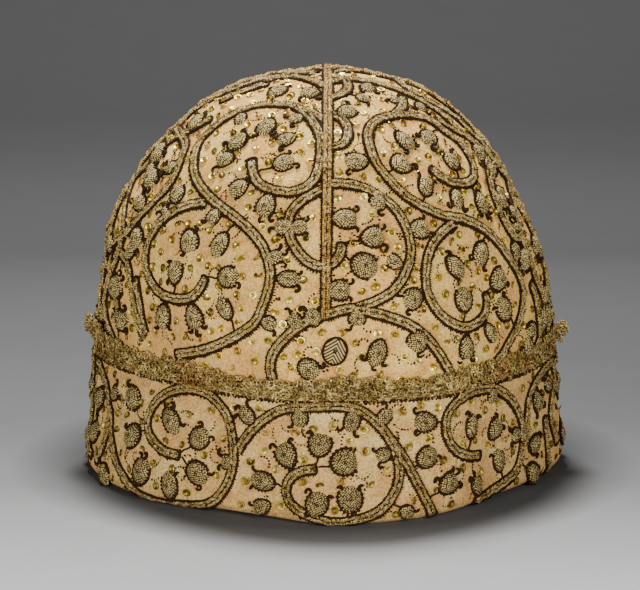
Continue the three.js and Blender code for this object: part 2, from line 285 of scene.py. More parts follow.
class Nodes:
    """A short way to write a material's node tree."""

    def __init__(self, name, roughness, metallic=0.0, gloss=0.25):
        self.material = bpy.data.materials.new(name)
        self.material.use_nodes = True
        self.tree = self.material.node_tree
        self.shader = self.tree.nodes["Principled BSDF"]
        self.shader.inputs["Roughness"].default_value = roughness
        self.shader.inputs["Metallic"].default_value = metallic
        self.shader.inputs["Specular IOR Level"].default_value = gloss
        self.coordinates = self.node("ShaderNodeTexCoord")

    def node(self, kind, **settings):
        made = self.tree.nodes.new(kind)
        for key, value in settings.items():
            setattr(made, key, value)
        return made

    def link(self, source, target):
        self.tree.links.new(source, target)

    def place(self):
        """Object coordinates in metres."""
        return self.coordinates.outputs["Object"]

    def uv(self, across=1, along=1):
        mapping = self.node("ShaderNodeMapping")
        mapping.inputs["Scale"].default_value = (across, along, 1)
        self.link(self.coordinates.outputs["UV"], mapping.inputs["Vector"])
        return mapping.outputs["Vector"]

    def split(self, vector):
        """The X, Y and Z of a vector."""
        made = self.node("ShaderNodeSeparateXYZ")
        self.link(vector, made.inputs["Vector"])
        return made.outputs

    def noise(self, size, detail=3.0, roughness=0.55):
        """Noise whose patches are about size metres across."""
        made = self.node("ShaderNodeTexNoise")
        made.inputs["Scale"].default_value = 1 / size
        made.inputs["Detail"].default_value = detail
        made.inputs["Roughness"].default_value = roughness
        self.link(self.place(), made.inputs["Vector"])
        return made.outputs["Fac"]

    def streaks(self, across, along):
        """Noise in UV, with this many patches over the width and over the UV's unit of length."""
        made = self.node("ShaderNodeTexNoise", noise_dimensions="2D")
        made.inputs["Scale"].default_value = 1.0
        made.inputs["Detail"].default_value = 3.0
        made.inputs["Roughness"].default_value = 0.7
        self.link(self.uv(across, along), made.inputs["Vector"])
        return made.outputs["Fac"]

    def near(self, place, reach, core=0.0):
        """1 within core metres of a place of the object, fading to 0 at reach metres from it."""
        made = self.node("ShaderNodeVectorMath", operation="DISTANCE")
        self.link(self.place(), made.inputs[0])
        made.inputs[1].default_value = tuple(place)
        return self.span(made.outputs["Value"], reach, core)

    def threads(self, direction, width):
        """Waves across a direction, each width metres wide."""
        made = self.node("ShaderNodeTexWave", bands_direction=direction)
        made.inputs["Scale"].default_value = 1 / width / 20
        self.link(self.place(), made.inputs["Vector"])
        return made.outputs["Fac"]

    def math(self, operation, a, b=0.0):
        made = self.node("ShaderNodeMath", operation=operation)
        for socket, value in zip(made.inputs, (a, b)):
            if isinstance(value, (int, float)):
                socket.default_value = value
            else:
                self.link(value, socket)
        return made.outputs[0]

    def plus(self, a, b):
        return self.math("ADD", a, b)

    def minus(self, a, b):
        return self.math("SUBTRACT", a, b)

    def times(self, a, b):
        return self.math("MULTIPLY", a, b)

    def ripple(self, value, rate):
        """Humps from 0 to 1, one for every pi of value times rate."""
        return self.math("ABSOLUTE", self.math("SINE", self.times(value, rate)))

    def ramp(self, factor, stops):
        """Colours, each (r, g, b), at their places from 0 to 1."""
        made = self.node("ShaderNodeValToRGB")
        ramp = made.color_ramp
        while len(ramp.elements) < len(stops):
            ramp.elements.new(0.5)
        for element, (place, colour) in zip(ramp.elements, stops):
            element.position = place
            element.color = (*colour, 1)
        self.link(factor, made.inputs["Fac"])
        return made.outputs["Color"]

    def span(self, factor, low, high):
        """0 below low, 1 above high."""
        made = self.node("ShaderNodeMapRange")
        made.inputs["From Min"].default_value = low
        made.inputs["From Max"].default_value = high
        self.link(factor, made.inputs["Value"])
        return made.outputs["Result"]

    def mix(self, factor, a, b, blend="MIX"):
        made = self.node("ShaderNodeMix", data_type="RGBA", blend_type=blend)
        for name, value in (("Factor", factor), ("A", a), ("B", b)):
            self.set_colour(made.inputs[name], value)
        return made.outputs["Result"]

    def tinted(self, colour, tint):
        return self.mix(1.0, colour, tint, "MULTIPLY")

    def set_colour(self, socket, value):
        if isinstance(value, (int, float)):
            socket.default_value = value
        elif isinstance(value, tuple):
            socket.default_value = (*value, 1)
        else:
            self.link(value, socket)

    def bump(self, height, depth, strength=1.0, after=None):
        """Bump with the height's 0 to 1 as depth metres."""
        made = self.node("ShaderNodeBump")
        made.inputs["Distance"].default_value = depth
        made.inputs["Strength"].default_value = strength
        self.link(height, made.inputs["Height"])
        if after is not None:
            self.link(after, made.inputs["Normal"])
        return made.outputs["Normal"]

    def finish(self, colour, normal=None, roughness=None):
        self.set_colour(self.shader.inputs["Base Color"], colour)
        if normal is not None:
            self.link(normal, self.shader.inputs["Normal"])
        if roughness is not None:
            self.link(roughness, self.shader.inputs["Roughness"])
        return self.material


def tone(red, green, blue):
    """An sRGB tone seen on the object, as the linear values that a shader takes."""
    def linear(value):
        share = value / 255
        return share / 12.92 if share <= 0.04045 else ((share + 0.055) / 1.055) ** 2.4
    return (linear(red), linear(green), linear(blue))


def linen_material(name, soil_and_shade, stains):
    """Old plain-weave linen with slubs, patches of tan, a darkening tint that is partly dirt and partly
    painted shade, and stains, each a place and its reach.
    """
    n = Nodes(name, 0.95)
    weave = n.times(n.threads("X", 0.42 * MM), n.threads("Z", 0.42 * MM))
    slub = n.noise(1.0 * MM, 4.0, 0.85)
    patches = n.noise(13 * MM, 4.0, 0.65)
    blush = n.noise(30 * MM, 3.0, 0.62)
    tans = [(0.34, tone(228, 172, 94)), (0.5, tone(248, 200, 114)), (0.66, tone(255, 222, 134))]
    base = n.ramp(patches, tans)
    colour = n.mix(n.times(n.span(blush, 0.5, 0.66), 0.4), base, tone(250, 188, 112))
    # The darkening tint: dirt, and on the brim also painted shade.
    colour = n.tinted(colour, soil_and_shade)
    for place, reach in stains:
        strength = n.times(n.near(place, reach), n.span(patches, 0.25, 0.6))
        colour = n.mix(n.times(strength, 0.6), colour, tone(172, 112, 66))
    between = [(0.38, (0.5, 0.43, 0.34)), (0.5, (0.84, 0.82, 0.78)), (0.6, (1.0, 1.0, 1.0))]
    colour = n.tinted(colour, n.ramp(slub, between))
    normal = n.bump(n.plus(n.times(weave, 0.4), slub), 0.3 * MM)
    normal = n.bump(n.noise(5 * MM, 2.0), 1.1 * MM, 0.8, normal)
    return n.finish(colour, normal)


def braid_material(name, light, middle, dark):
    """Plaited metal thread: four strands of close slanting stitches, tarnished in patches, with painted
    light on the strands and painted shade in the grooves between strands and stitches.
    """
    n = Nodes(name, 0.62, 0.15, gloss=0.15)
    uv = n.split(n.uv())
    across = n.math("ABSOLUTE", n.minus(uv["X"], 0.5))
    stitch = n.ripple(n.plus(n.times(across, 1.3), uv["Y"]), math.pi)
    pair = n.math("POWER", n.ripple(across, 2 * math.pi), 0.8)
    strand = n.math("POWER", n.ripple(across, 4 * math.pi), 0.5)
    ridge = n.plus(n.times(pair, 0.65), n.times(strand, 0.35))
    grain = n.noise(0.95 * MM, 4.0, 0.8)
    patches = n.noise(8 * MM, 3.0)
    streak = n.streaks(5.0, 0.55)
    # Painted light on the ridges and stitches, painted shade in the grooves between them and at the edges.
    painted_relief_light = n.plus(n.times(ridge, 0.7), n.times(stitch, 0.2))
    speckle = n.times(n.minus(n.plus(grain, streak), 1.0), 2.1)
    colour = n.ramp(n.plus(painted_relief_light, speckle), [(0.3, dark), (0.58, middle), (0.92, light)])
    tarnished = n.tinted(colour, tone(214, 196, 142))
    colour = n.mix(n.span(patches, 0.38, 0.66), colour, tarnished)
    relief = n.plus(n.times(stitch, 0.6), n.plus(grain, n.times(streak, 0.8)))
    return n.finish(colour, n.bump(relief, 0.4 * MM))


def knot_material(name, wear):
    """Detached buttonhole stitch in metal thread: rows of small pale loops, with painted shade in the holes
    between them.
    """
    n = Nodes(name, 0.58, 0.15)
    loops = n.node("ShaderNodeTexVoronoi", voronoi_dimensions="2D")
    loops.inputs["Scale"].default_value = 1.0
    loops.inputs["Randomness"].default_value = 0.45
    n.link(n.uv(), loops.inputs["Vector"])
    height = n.minus(1.0, loops.outputs["Distance"])
    grain = n.noise(1.8 * MM, 3.0, 0.7)
    # The colour follows the loops' height: painted light on their tops and painted shade in the holes.
    shade = n.plus(height, n.times(n.minus(grain, 0.5), 0.55))
    stops = [(0.42, tone(58, 39, 10)), (0.57, tone(116, 93, 48)), (0.73, tone(184, 159, 97)),
             (0.89, tone(255, 233, 158))]
    # The tint darkens the brim's copy with wear and painted shade.
    return n.finish(n.tinted(n.ramp(shade, stops), wear), n.bump(height, 0.6 * MM))


def silk_material(name, dark, light, size):
    n = Nodes(name, 0.8, gloss=0.12)
    strands = n.noise(size, 3.0, 0.7)
    return n.finish(n.ramp(strands, [(0.3, dark), (0.75, light)]), n.bump(strands, 0.12 * MM))


def stripe_material():
    """A leaf of silk and metal thread in chevrons, dark brown and cream by turns."""
    n = Nodes("chevron_leaf_stitch", 0.6)
    uv = n.split(n.uv())
    slant = n.minus(uv["X"], n.times(n.math("ABSOLUTE", uv["Y"]), 1.1))
    stripe = n.ripple(slant, math.pi / 1.6)
    grain = n.noise(0.6 * MM, 3.0, 0.7)
    shade = n.plus(n.times(stripe, 0.8), n.times(grain, 0.3))
    stops = [(0.45, tone(58, 40, 14)), (0.66, tone(118, 94, 50)), (0.95, tone(206, 178, 118))]
    return n.finish(n.ramp(shade, stops), n.bump(stripe, 0.3 * MM))


def spangle_material(name, worn, middle, bright, dullness):
    """Gilt spangles, some bright and some worn. Dullness moves their roughness up."""
    n = Nodes(name, 0.3, 0.95)
    wear = n.noise(4.5 * MM, 3.0, 0.7)
    scratch = n.noise(0.5 * MM, 3.0, 0.7)
    stops = [(0.4, worn), (0.52, middle), (0.6, bright)]
    roughness = n.plus(n.span(scratch, -0.2, 1.8), dullness)
    return n.finish(n.ramp(wear, stops), n.bump(scratch, 0.06 * MM), roughness)


def lace_material(name, shadow, middle, light):
    n = Nodes(name, 0.48, 0.3)
    strands = n.noise(0.8 * MM, 3.0, 0.75)
    patches = n.noise(5 * MM, 3.0, 0.6)
    stain = n.noise(22 * MM, 2.0)
    shade = n.plus(n.times(strands, 0.6), n.times(patches, 0.4))
    gold = n.ramp(shade, [(0.36, shadow), (0.5, middle), (0.65, light)])
    colour = n.mix(n.span(stain, 0.5, 0.75), gold, n.tinted(gold, tone(226, 186, 146)))
    return n.finish(colour, n.bump(strands, 0.15 * MM))


crown_metal = braid_material("silver_gilt_plait", tone(248, 220, 148), tone(111, 87, 43), tone(36, 20, 3))
# The brim's plait is a darker copy of the crown's: partly wear, partly painted shade for the less light the
# brim gets.
brim_metal = braid_material(
    "worn_and_shaded_silver_gilt_plait", tone(226, 196, 126), tone(90, 69, 32), tone(28, 15, 2)
)
seam_metal = braid_material("gilt_seam_plait", tone(226, 188, 112), tone(122, 90, 40), tone(44, 26, 5))
crown_knots = knot_material("buttonhole_metal_thread", (1.0, 1.0, 1.0))
# The brim's buttonhole stitch is darkened: partly wear, partly painted shade for the less light the brim
# gets.
brim_knots = knot_material("worn_and_shaded_buttonhole_metal_thread", (0.8, 0.79, 0.77))
black_silk = silk_material("black_silk", tone(22, 10, 1), tone(60, 36, 5), 0.8 * MM)
brown_silk = silk_material("dark_brown_silk", tone(26, 14, 4), tone(74, 48, 20), 0.8 * MM)
yellow_silk = silk_material("yellow_silk", tone(112, 76, 18), tone(190, 150, 60), 0.5 * MM)
crown_thread = silk_material("silver_gilt_thread", tone(48, 31, 7), tone(232, 202, 128), 0.7 * MM)
brim_thread = silk_material("worn_silver_gilt_thread", tone(38, 23, 4), tone(204, 176, 108), 0.7 * MM)
striped = stripe_material()
crown_gilt = spangle_material(
    "gilt_spangle", tone(136, 110, 28), tone(200, 168, 58), tone(255, 236, 146), 0.03
)
brim_gilt = spangle_material(
    "worn_gilt_spangle", tone(116, 92, 26), tone(160, 134, 50), tone(214, 190, 100), 0.14
)
lace_metal = lace_material("metal_bobbin_lace", tone(66, 46, 14), tone(154, 126, 62), tone(252, 228, 154))
# A darker copy of the lace's metal: painted shade for the ground seen through the holes.
lace_painted_shade = lace_material("metal_lace_ground_painted_shade", tone(34, 22, 5), tone(66, 47, 15), tone(104, 80, 32))


# Camera

back = np.array([0, -math.cos(CAMERA_ELEVATION), math.sin(CAMERA_ELEVATION)])
right = np.array([1.0, 0, 0])
rise = np.array([0, math.sin(CAMERA_ELEVATION), math.cos(CAMERA_ELEVATION)])
camera_place = CAMERA_AIM + back * CAMERA_DISTANCE


def make_camera():
    """The camera that the photograph's view needs."""
    data = bpy.data.cameras.new("camera")
    data.sensor_width = SENSOR
    data.lens = SENSOR * FOCAL_PIXELS / PICTURE_WIDTH
    data.clip_start, data.clip_end = 0.05, 20
    obj = bpy.data.objects.new("camera", data)
    obj.location = camera_place.tolist()
    obj.rotation_mode = "QUATERNION"
    obj.rotation_quaternion = Vector((-back).tolist()).to_track_quat("-Z", "Y")
    bpy.context.scene.collection.objects.link(obj)
    bpy.context.scene.camera = obj


make_camera()


# Linen surfaces


def frame_tree(node):
    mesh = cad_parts[node].data
    return BVHTree.FromPolygons([v.co for v in mesh.vertices], [list(p.vertices) for p in mesh.polygons])


def cast_inwards(tree, centre, direction):
    """The distance from centre, along direction, of the outermost surface."""
    far = 0.3
    hit = tree.ray_cast(Vector(centre + direction * far), Vector(-direction))
    return far - hit[3] if hit[0] is not None else np.nan


round_columns = COLUMNS * FINE
level_out = circle(ring_angles(COLUMNS))
fine_azimuths = ring_angles(round_columns)
fine_out = circle(fine_azimuths)
linen_waves = make_waves(26, 9 * MM, 42 * MM)


def crown_surface():
    """The crown's outside as rows of points, from the top down to the hem."""
    tree = frame_tree("crown")
    polar = np.radians(np.arange(1, 90 / LEAN_STEP + 1) * LEAN_STEP)
    levels = np.linspace(CROWN_CENTRE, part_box("crown")[0][2] + 1.2 * MM, WALL_LEVELS + 1)[1:]
    dome = [[cast_inwards(tree, UP * CROWN_CENTRE, out * math.sin(a) + UP * math.cos(a))
             for out in level_out] for a in polar]
    wall = [[cast_inwards(tree, UP * z, out) for out in level_out] for z in levels]
    reach = np.array(dome + wall)
    top = cast_inwards(tree, UP * CROWN_CENTRE, UP)
    reach = np.concatenate([np.full((1, COLUMNS), top), reach])
    middle = smoothed(reach, 1, wrap=False)
    reach[2:-1] = middle[2:-1]
    reach = upsampled(upsampled(reach, 3, wrap=False).T, FINE, wrap=True).T
    lean = upsampled(np.concatenate([[0.0], polar, np.full(len(levels), math.pi / 2)]), 3, wrap=False)
    height = upsampled(np.concatenate([np.full(len(polar) + 1, CROWN_CENTRE), levels]), 3, wrap=False)
    lean = np.minimum(lean, math.pi / 2)
    out = fine_out[None] * np.sin(lean)[:, None, None] + UP * np.cos(lean)[:, None, None]
    return out * reach[..., None] + UP * height[:, None, None]


def brim_surface():
    """The brim's outside as rows of points, from the upper edge down round the fold to its floor."""
    tree = frame_tree("brim")
    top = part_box("brim")[1][2]
    edges, floors, reaches = [], [], []
    shares = np.linspace(0, 1, BRIM_LEVELS)
    for out in level_out:
        leaf = cast_inwards(tree, UP * (top - 5 * MM), out)
        over = out * (leaf - LINEN / 2) + UP * 0.3
        edge = tree.ray_cast(Vector(over), Vector(-UP))[0][2]
        foot = cast_inwards(tree, UP * (FOLD_RADIUS + 1 * MM), out)
        under = out * (foot - FOLD_RADIUS - 1 * MM) - UP * 0.1
        floor = tree.ray_cast(Vector(under), Vector(UP))[0][2]
        heights = edge - 0.3 * MM - shares * (edge - 0.3 * MM - floor - FOLD_RADIUS)
        reaches.append([cast_inwards(tree, UP * z, out) for z in heights])
        edges.append(edge)
        floors.append(floor)
    reach = upsampled(np.array(reaches), FINE, wrap=True).T
    reach = upsampled(reach, 4, wrap=False)
    edge = upsampled(np.array(edges), FINE, wrap=True)
    floor = upsampled(np.array(floors), FINE, wrap=True)
    share = upsampled(shares, 4, wrap=False)[:, None]
    height = edge * (1 - share) + (floor + FOLD_RADIUS) * share
    leaf = fine_out[None] * reach[..., None] + UP * height[..., None]
    turns = np.radians(np.arange(1, FOLD_STEPS + 1) * 90 / FOLD_STEPS)[:, None]
    round_out = reach[-1] - FOLD_RADIUS * (1 - np.cos(turns))
    round_height = floor + FOLD_RADIUS * (1 - np.sin(turns))
    fold = fine_out[None] * round_out[..., None] + UP * round_height[..., None]
    return np.concatenate([leaf, fold]), edge


def row_normals(rows):
    """Outward normals of a grid of points that is closed round its rows."""
    along = np.roll(rows, -1, axis=1) - np.roll(rows, 1, axis=1)
    down = np.gradient(rows, axis=0)
    normals = unit(np.cross(down, along))
    outward = rows - INSIDE
    flip = np.sign((normals * outward).sum(axis=-1, keepdims=True))
    return normals * np.where(flip == 0, 1, flip)


def uneven(rows, amount):
    """Rows moved in and out a little, as soft linen lies, less and less towards the floor."""
    hold = np.clip((rows[..., 2:] - 2 * MM) / (8 * MM), 0, 1)
    return rows + row_normals(rows) * noise(rows, linen_waves)[..., None] * amount * hold


# Where the cloth sinks flatter: azimuth in degrees, height, reach and depth in millimetres.
SHOULDERS = [
    (0, 126, 30, 2.4), (-30, 132, 24, 1.0), (180, 118, 24, 1.8), (180, 141, 13, 0.9), (0, 98, 12, 0.8),
]


def flattened(rows):
    """Rows pressed in a little at the shoulders."""
    normals = row_normals(rows)
    for azimuth, height, reach, depth in SHOULDERS:
        line = rows[:, int(azimuth % 360 / 360 * rows.shape[1])]
        centre = line[np.abs(line[:, 2] - height * MM).argmin()]
        share = np.exp(-(np.linalg.norm(rows - centre, axis=-1) / (reach * MM)) ** 2)
        rows = rows - normals * share[..., None] * depth * MM
    return rows


def smooth_top(rows):
    """The rows with the first one drawn to one point."""
    rows[0] = rows[0].mean(axis=0)
    return rows


crown_rows = smooth_top(uneven(flattened(crown_surface()), WOBBLE))
brim_rows, brim_edge = brim_surface()
brim_rows = uneven(brim_rows, WOBBLE)
crown_tree = surface_tree(crown_rows)
brim_tree = surface_tree(brim_rows)


# Charting: where things are on the linen


def pixel_ray(x, y):
    """The direction from the camera through a pixel."""
    across = right * (x - PICTURE_WIDTH / 2) / FOCAL_PIXELS
    return unit(-back + across + rise * (PICTURE_HEIGHT / 2 - y) / FOCAL_PIXELS)


def on_linen(tree, x, y):
    """The point of the linen that shows at a pixel.

    A pixel just off its edge moves inwards until it hits.
    """
    spot = np.array([x, y], float)
    step = unit(np.array(CAP_MIDDLE) - spot)
    for _ in range(EDGE_STEPS):
        hit = tree.ray_cast(Vector(camera_place), Vector(pixel_ray(*spot)))
        if hit[0] is not None:
            return np.array(hit[0])
        spot = spot + step
    return None


# Stains on the crown: pixel x and y of the photograph, and how far each reaches, in millimetres.
STAINS = [
    (172, 338, 22), (205, 372, 14), (252, 372, 16), (330, 376, 14), (120, 330, 20), (505, 362, 16),
    (236, 300, 9),
]
stains = [(on_linen(crown_tree, x, y), reach * MM) for x, y, reach in STAINS]
crown_finish = linen_material("aged_linen", (1.0, 1.0, 1.0), stains)
# The brim's linen is darker than the crown's: partly dirt from handling, partly painted shade for the less
# light it gets from above.
brim_finish = linen_material("soiled_and_shaded_linen", (0.8, 0.82, 0.97), [])


def make_crown():
    """The dome of linen with its inside, closed at the hem."""
    inside = smooth_top((crown_rows - row_normals(crown_rows) * LINEN)[::LINING_STEP, ::LINING_STEP])
    outside, outside_faces = grid_part(crown_rows)
    columns = inside.shape[1]
    lining_faces = grid_faces(len(inside), columns)[:, ::-1] + len(outside)
    last_out = (len(crown_rows) - 1) * round_columns
    last_in = len(outside) + (len(inside) - 1) * columns
    j = np.arange(columns)
    k = (j + 1) % columns
    hem = [np.stack([last_out + LINING_STEP * j, last_in + j, last_in + k], axis=1)]
    for step in range(LINING_STEP):
        a = last_out + LINING_STEP * j + step
        b = last_out + (LINING_STEP * j + step + 1) % round_columns
        hem.append(np.stack([a, last_in + k, b], axis=1))
    points = np.concatenate([outside, inside.reshape(-1, 3)])
    faces = [*outside_faces, lining_faces, *hem]
    piece = mesh_piece("crown_linen", (points, faces), crown_finish)
    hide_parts("crown")
    return piece


def make_brim():
    """The turned-up leaf: outside, fold, the fold's floor, and the leaf's inner side."""
    normals = row_normals(brim_rows)
    tree = frame_tree("crown")
    inner = np.array([cast_inwards(tree, UP * 8 * MM, out) for out in level_out]) - LINEN
    inner = upsampled(inner, FINE, wrap=True)
    floor = brim_rows[-1]
    floor_z = floor[:, 2:]
    rim = fine_out * inner[:, None]
    floor_rows = [floor * (1 - s) + (rim + UP * floor_z) * s for s in (0.5, 1.0)]
    lip = [rim - fine_out * 0.25 * MM + UP * (floor_z + 0.9 * MM), rim + UP * (floor_z + 2.0 * MM)]
    roll = [brim_rows[0] + UP * 0.5 * MM - normals[0] * inwards * MM for inwards in (1.3, 0.5)]
    leaf_in = (brim_rows - normals * LINEN)[:30:6]
    rows = np.concatenate([leaf_in[::-1], roll, brim_rows, floor_rows, lip])
    piece = mesh_piece("brim_linen", grid_part(rows), brim_finish)
    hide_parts("brim")
    return piece


crown_piece = make_crown()
brim_piece = make_brim()


# Lines on the linen


def nearest(tree, points):
    """Points moved onto the linen, with the outward normals there."""
    found, normals = [], []
    for p in points:
        place, normal, _, _ = tree.find_nearest(Vector(p))
        found.append(place)
        normals.append(normal)
    found, normals = np.array(found), np.array(normals)
    outward = found - INSIDE
    return found, normals * np.sign((normals * outward).sum(axis=1, keepdims=True))


def evenly(points, spacing):
    """Points at an even spacing along a smooth curve through the given ones."""
    points = np.asarray(points, float)
    curve = upsampled(points, 10, wrap=False) if len(points) > 2 else points
    run = np.concatenate([[0], np.cumsum(np.linalg.norm(np.diff(curve, axis=0), axis=1))])
    count = max(2, int(round(run[-1] / spacing)) + 1)
    at = np.linspace(0, run[-1], count)
    return np.stack([np.interp(at, run, curve[:, k]) for k in range(3)], axis=1)


class Path:
    """A line on the linen: points, normals, and the directions along and across."""

    def __init__(self, points, normals):
        self.points = points
        self.normals = normals
        self.along = unit(np.gradient(points, axis=0))
        self.across = unit(np.cross(self.along, normals))


def laid_path(tree, controls, spacing=ROW):
    """A path on the linen along control points."""
    points, normals = nearest(tree, evenly(controls, spacing))
    points = np.concatenate([points[:1], smoothed(points, 3, wrap=False)[1:-1], points[-1:]])
    return Path(points, unit(smoothed(normals, 6, wrap=False)))


def half_turn(points):
    """The same points on the back of the cap."""
    return np.asarray(points) * np.array([-1, -1, 1])


def swept(path, section, ends=True):
    """A strip along a path, with a section of (across, up) pairs in metres.

    Its UV goes from 0 to 1 across and is in stitches along.
    """
    across = np.array([s[0] for s in section])
    up = np.array([s[1] for s in section])
    count = len(path.points)
    size = np.ones(count)
    if ends:
        tail = min(4, count // 2)
        shape = np.sqrt(1 - (1 - (np.arange(tail) + 0.25) / tail) ** 2)
        size[:tail] = shape
        size[-tail:] = shape[::-1]
    points = (path.points[:, None] + path.across[:, None] * (across * size[:, None])[..., None]
              + path.normals[:, None] * (up * size[:, None])[..., None])
    share = (across - across.min()) / (across.max() - across.min())
    uv = np.stack(np.broadcast_arrays(share[None], np.arange(count)[:, None] * ROW / STITCH), axis=-1)
    return *grid_part(points, wrap=False), uv.reshape(-1, 2)


def braid_section(width, rise, groove):
    """Two ridges beside a middle groove, whose height is a share of theirs."""
    side = [(0.5, -0.12), (0.47, 0.5), (RIDGE, 1.0)]
    shape = [(-a, u) for a, u in side] + [(0, groove)] + side[::-1]
    return [(a * width, u * rise) for a, u in shape]


def lumps(path):
    """How far a hand-worked braid stands up more or less along its way."""
    row = np.arange(len(path.points))
    start = path.points[0].sum() / MM
    return (0.28 * np.sin(0.52 * row + start) + 0.24 * np.sin(0.19 * row + 2 * start)) * MM


def braid_parts(path, width, rise, groove):
    """A plaited braid whose ridges swell a little unevenly, row by row."""
    points, faces, uv = swept(path, braid_section(width, rise, groove))
    rows = points.reshape(len(path.points), -1, 3)
    rows[:, 2:5] += (path.normals * lumps(path)[:, None])[:, None]
    for ridge in (2, 4):
        rows[:, ridge] += path.normals * rng.uniform(-0.18, 0.18, len(rows))[:, None] * MM
    return rows.reshape(-1, 3), faces, uv


def plait_stitches(path, width, rise):
    """Slanting stitches along both ridges of a braid, as places and axes."""
    rows = np.arange(4, len(path.points) - 4, 2)
    along, across, up = path.along[rows], path.across[rows], path.normals[rows]
    places, axes = [], []
    for side in (-1, 1):
        slant = unit(along + 0.85 * side * across)
        lift = 0.84 * rise + lumps(path)[rows, None]
        places.append(path.points[rows] + across * side * RIDGE * width + up * lift)
        axes.append(np.stack([slant, np.cross(up, slant), up], axis=1))
    return np.concatenate(places), np.concatenate(axes)


def silk_edges(path, width, thick, reach):
    """Black silk along both sides of a braid, thicker on the lower side, where the extra width is painted
    shadow under the stem.

    It has a tooth at every other row.
    """
    parts = []
    count = len(path.points)
    ragged = rng.uniform(0.62, 1.25, size=(2, count))
    heights = rng.uniform(0.85, 1.65, size=(2, count)) * thick * 2
    for side, jitter, high in zip((-1, 1), ragged, heights):
        # The lower side's teeth reach further: painted shadow under the stem, made of black silk.
        lower = 1 - 0.45 * side * path.across[:, 2]
        is_tooth = np.arange(count) % 2 == 0
        tooth = np.where(is_tooth, reach, thick) * jitter * lower
        up = np.where(is_tooth, high, 0.45 * high)
        columns = [
            (np.full(count, width / 2 - 0.25 * MM), np.full(count, 0.6 * MM)),
            (width / 2 + 0.5 * tooth, up),
            (width / 2 + tooth, np.full(count, -0.05 * MM)),
        ]
        lines = [path.points + side * path.across * a[:, None] + path.normals * u[:, None]
                 for a, u in columns]
        parts.append(grid_part(np.stack(lines, axis=1), wrap=False))
    return parts


# The chart. Points are pixels of the photograph, x and y, along each stem.
CROWN_STEMS = {
    "left_scroll": [
        (252, 160), (256, 180), (272, 190), (295, 192), (313, 184), (322, 166), (324, 143), (319, 127),
        (300, 108), (273, 105), (245, 110), (223, 121), (204, 138), (195, 158), (196, 177), (208, 195),
        (226, 210), (245, 225), (260, 241), (269, 260), (271, 277), (267, 295), (260, 314), (254, 324),
        (232, 338), (206, 349), (177, 354),
    ],
    "left_branch": [(328, 121), (318, 115), (302, 108)],
    "left_coil": [
        (208, 203), (190, 205), (172, 213), (157, 227), (148, 245), (146, 262), (151, 280), (163, 294),
        (180, 299), (193, 297), (201, 288), (206, 278),
    ],
    "left_shoulder": [
        (178, 129), (186, 143), (182, 160), (175, 177), (162, 195), (143, 214), (125, 234), (112, 245),
    ],
    "left_side": [(117, 249), (124, 254), (129, 264), (132, 280), (134, 299), (139, 321), (147, 342)],
    "left_side_inner": [(137, 278), (140, 300), (143, 320), (149, 338)],
    "left_top": [
        (328, 88), (300, 78), (273, 79), (245, 86), (226, 94), (208, 103), (194, 113), (178, 129),
    ],
    "left_top_inner": [(268, 85), (250, 90), (233, 97), (216, 106)],
    "right_scroll": [
        (430, 169), (443, 179), (458, 184), (471, 181), (473, 168), (467, 155), (458, 142), (443, 132),
        (430, 121), (413, 116), (393, 116), (377, 121), (369, 132), (371, 149), (378, 166), (391, 182),
        (406, 197), (425, 208), (443, 216), (462, 219), (480, 227), (495, 240), (508, 258), (519, 277),
        (522, 295), (520, 314), (517, 324), (508, 342), (494, 362),
    ],
    "right_branch": [(393, 116), (402, 108), (402, 98)],
    "right_coil": [
        (454, 223), (439, 234), (428, 253), (425, 271), (426, 290), (436, 310), (451, 323), (467, 327),
        (482, 317), (486, 303), (484, 290),
    ],
    "right_side": [
        (485, 150), (486, 165), (489, 181), (494, 200), (501, 217), (507, 230), (514, 238), (521, 236),
        (522, 228),
    ],
    "right_side_inner": [
        (490, 182), (491, 168), (497, 160), (503, 170), (508, 188), (513, 206), (520, 226),
    ],
    "middle_left": [
        (325, 189), (300, 203), (290, 217), (290, 235), (297, 249), (309, 262), (323, 267), (335, 263),
        (342, 253), (343, 244),
    ],
    "middle_right": [
        (328, 184), (346, 184), (365, 188), (384, 199), (399, 214), (408, 234), (410, 258), (402, 279),
        (390, 293), (371, 303), (353, 308),
    ],
    "arch_left": [
        (357, 308), (344, 309), (331, 313), (317, 317), (300, 325), (286, 337), (275, 350), (270, 364),
        (273, 380),
    ],
    "arch_right": [
        (350, 309), (367, 311), (387, 316), (406, 323), (422, 333), (434, 347), (444, 362), (451, 375),
    ],
    "right_top": [
        (330, 84), (352, 80), (373, 83), (389, 88), (405, 94), (420, 101), (435, 110), (447, 120),
        (466, 138), (486, 158),
    ],
    "right_outer": [
        (338, 67), (360, 69), (382, 76), (403, 87), (422, 98), (440, 108), (456, 119), (470, 133),
        (485, 149), (497, 165), (505, 180), (513, 200), (523, 219), (532, 236), (540, 253), (544, 275),
        (546, 297),
    ],
    "left_outer": [
        (320, 67), (292, 70), (264, 75), (238, 84), (216, 95), (197, 108), (180, 121), (165, 135),
        (152, 152), (140, 172), (128, 192), (117, 212), (111, 232), (107, 254), (104, 276), (102, 300),
    ],
    "right_rim": [
        (340, 65), (362, 67), (384, 72), (405, 80), (425, 90), (444, 101), (461, 113), (476, 127),
        (488, 141), (498, 156), (505, 170), (511, 184),
    ],
    "left_rim": [
        (318, 65), (292, 67), (266, 71), (240, 79), (217, 88), (198, 99), (181, 113), (167, 127),
        (154, 142), (144, 157), (136, 171),
    ],
    "right_top_curl": [(330, 77), (347, 80), (351, 87), (347, 94), (330, 101)],
    "right_low_curl": [(330, 112), (346, 120), (350, 129), (350, 138), (345, 145), (329, 150)],
    "right_side_edge": [(514, 192), (521, 206), (529, 220), (537, 235), (541, 250)],
    "right_far_side": [(530, 283), (535, 300), (537, 318), (538, 338), (540, 352)],
    "left_far_side": [(113, 246), (112, 262), (114, 280), (118, 300), (121, 322)],
}
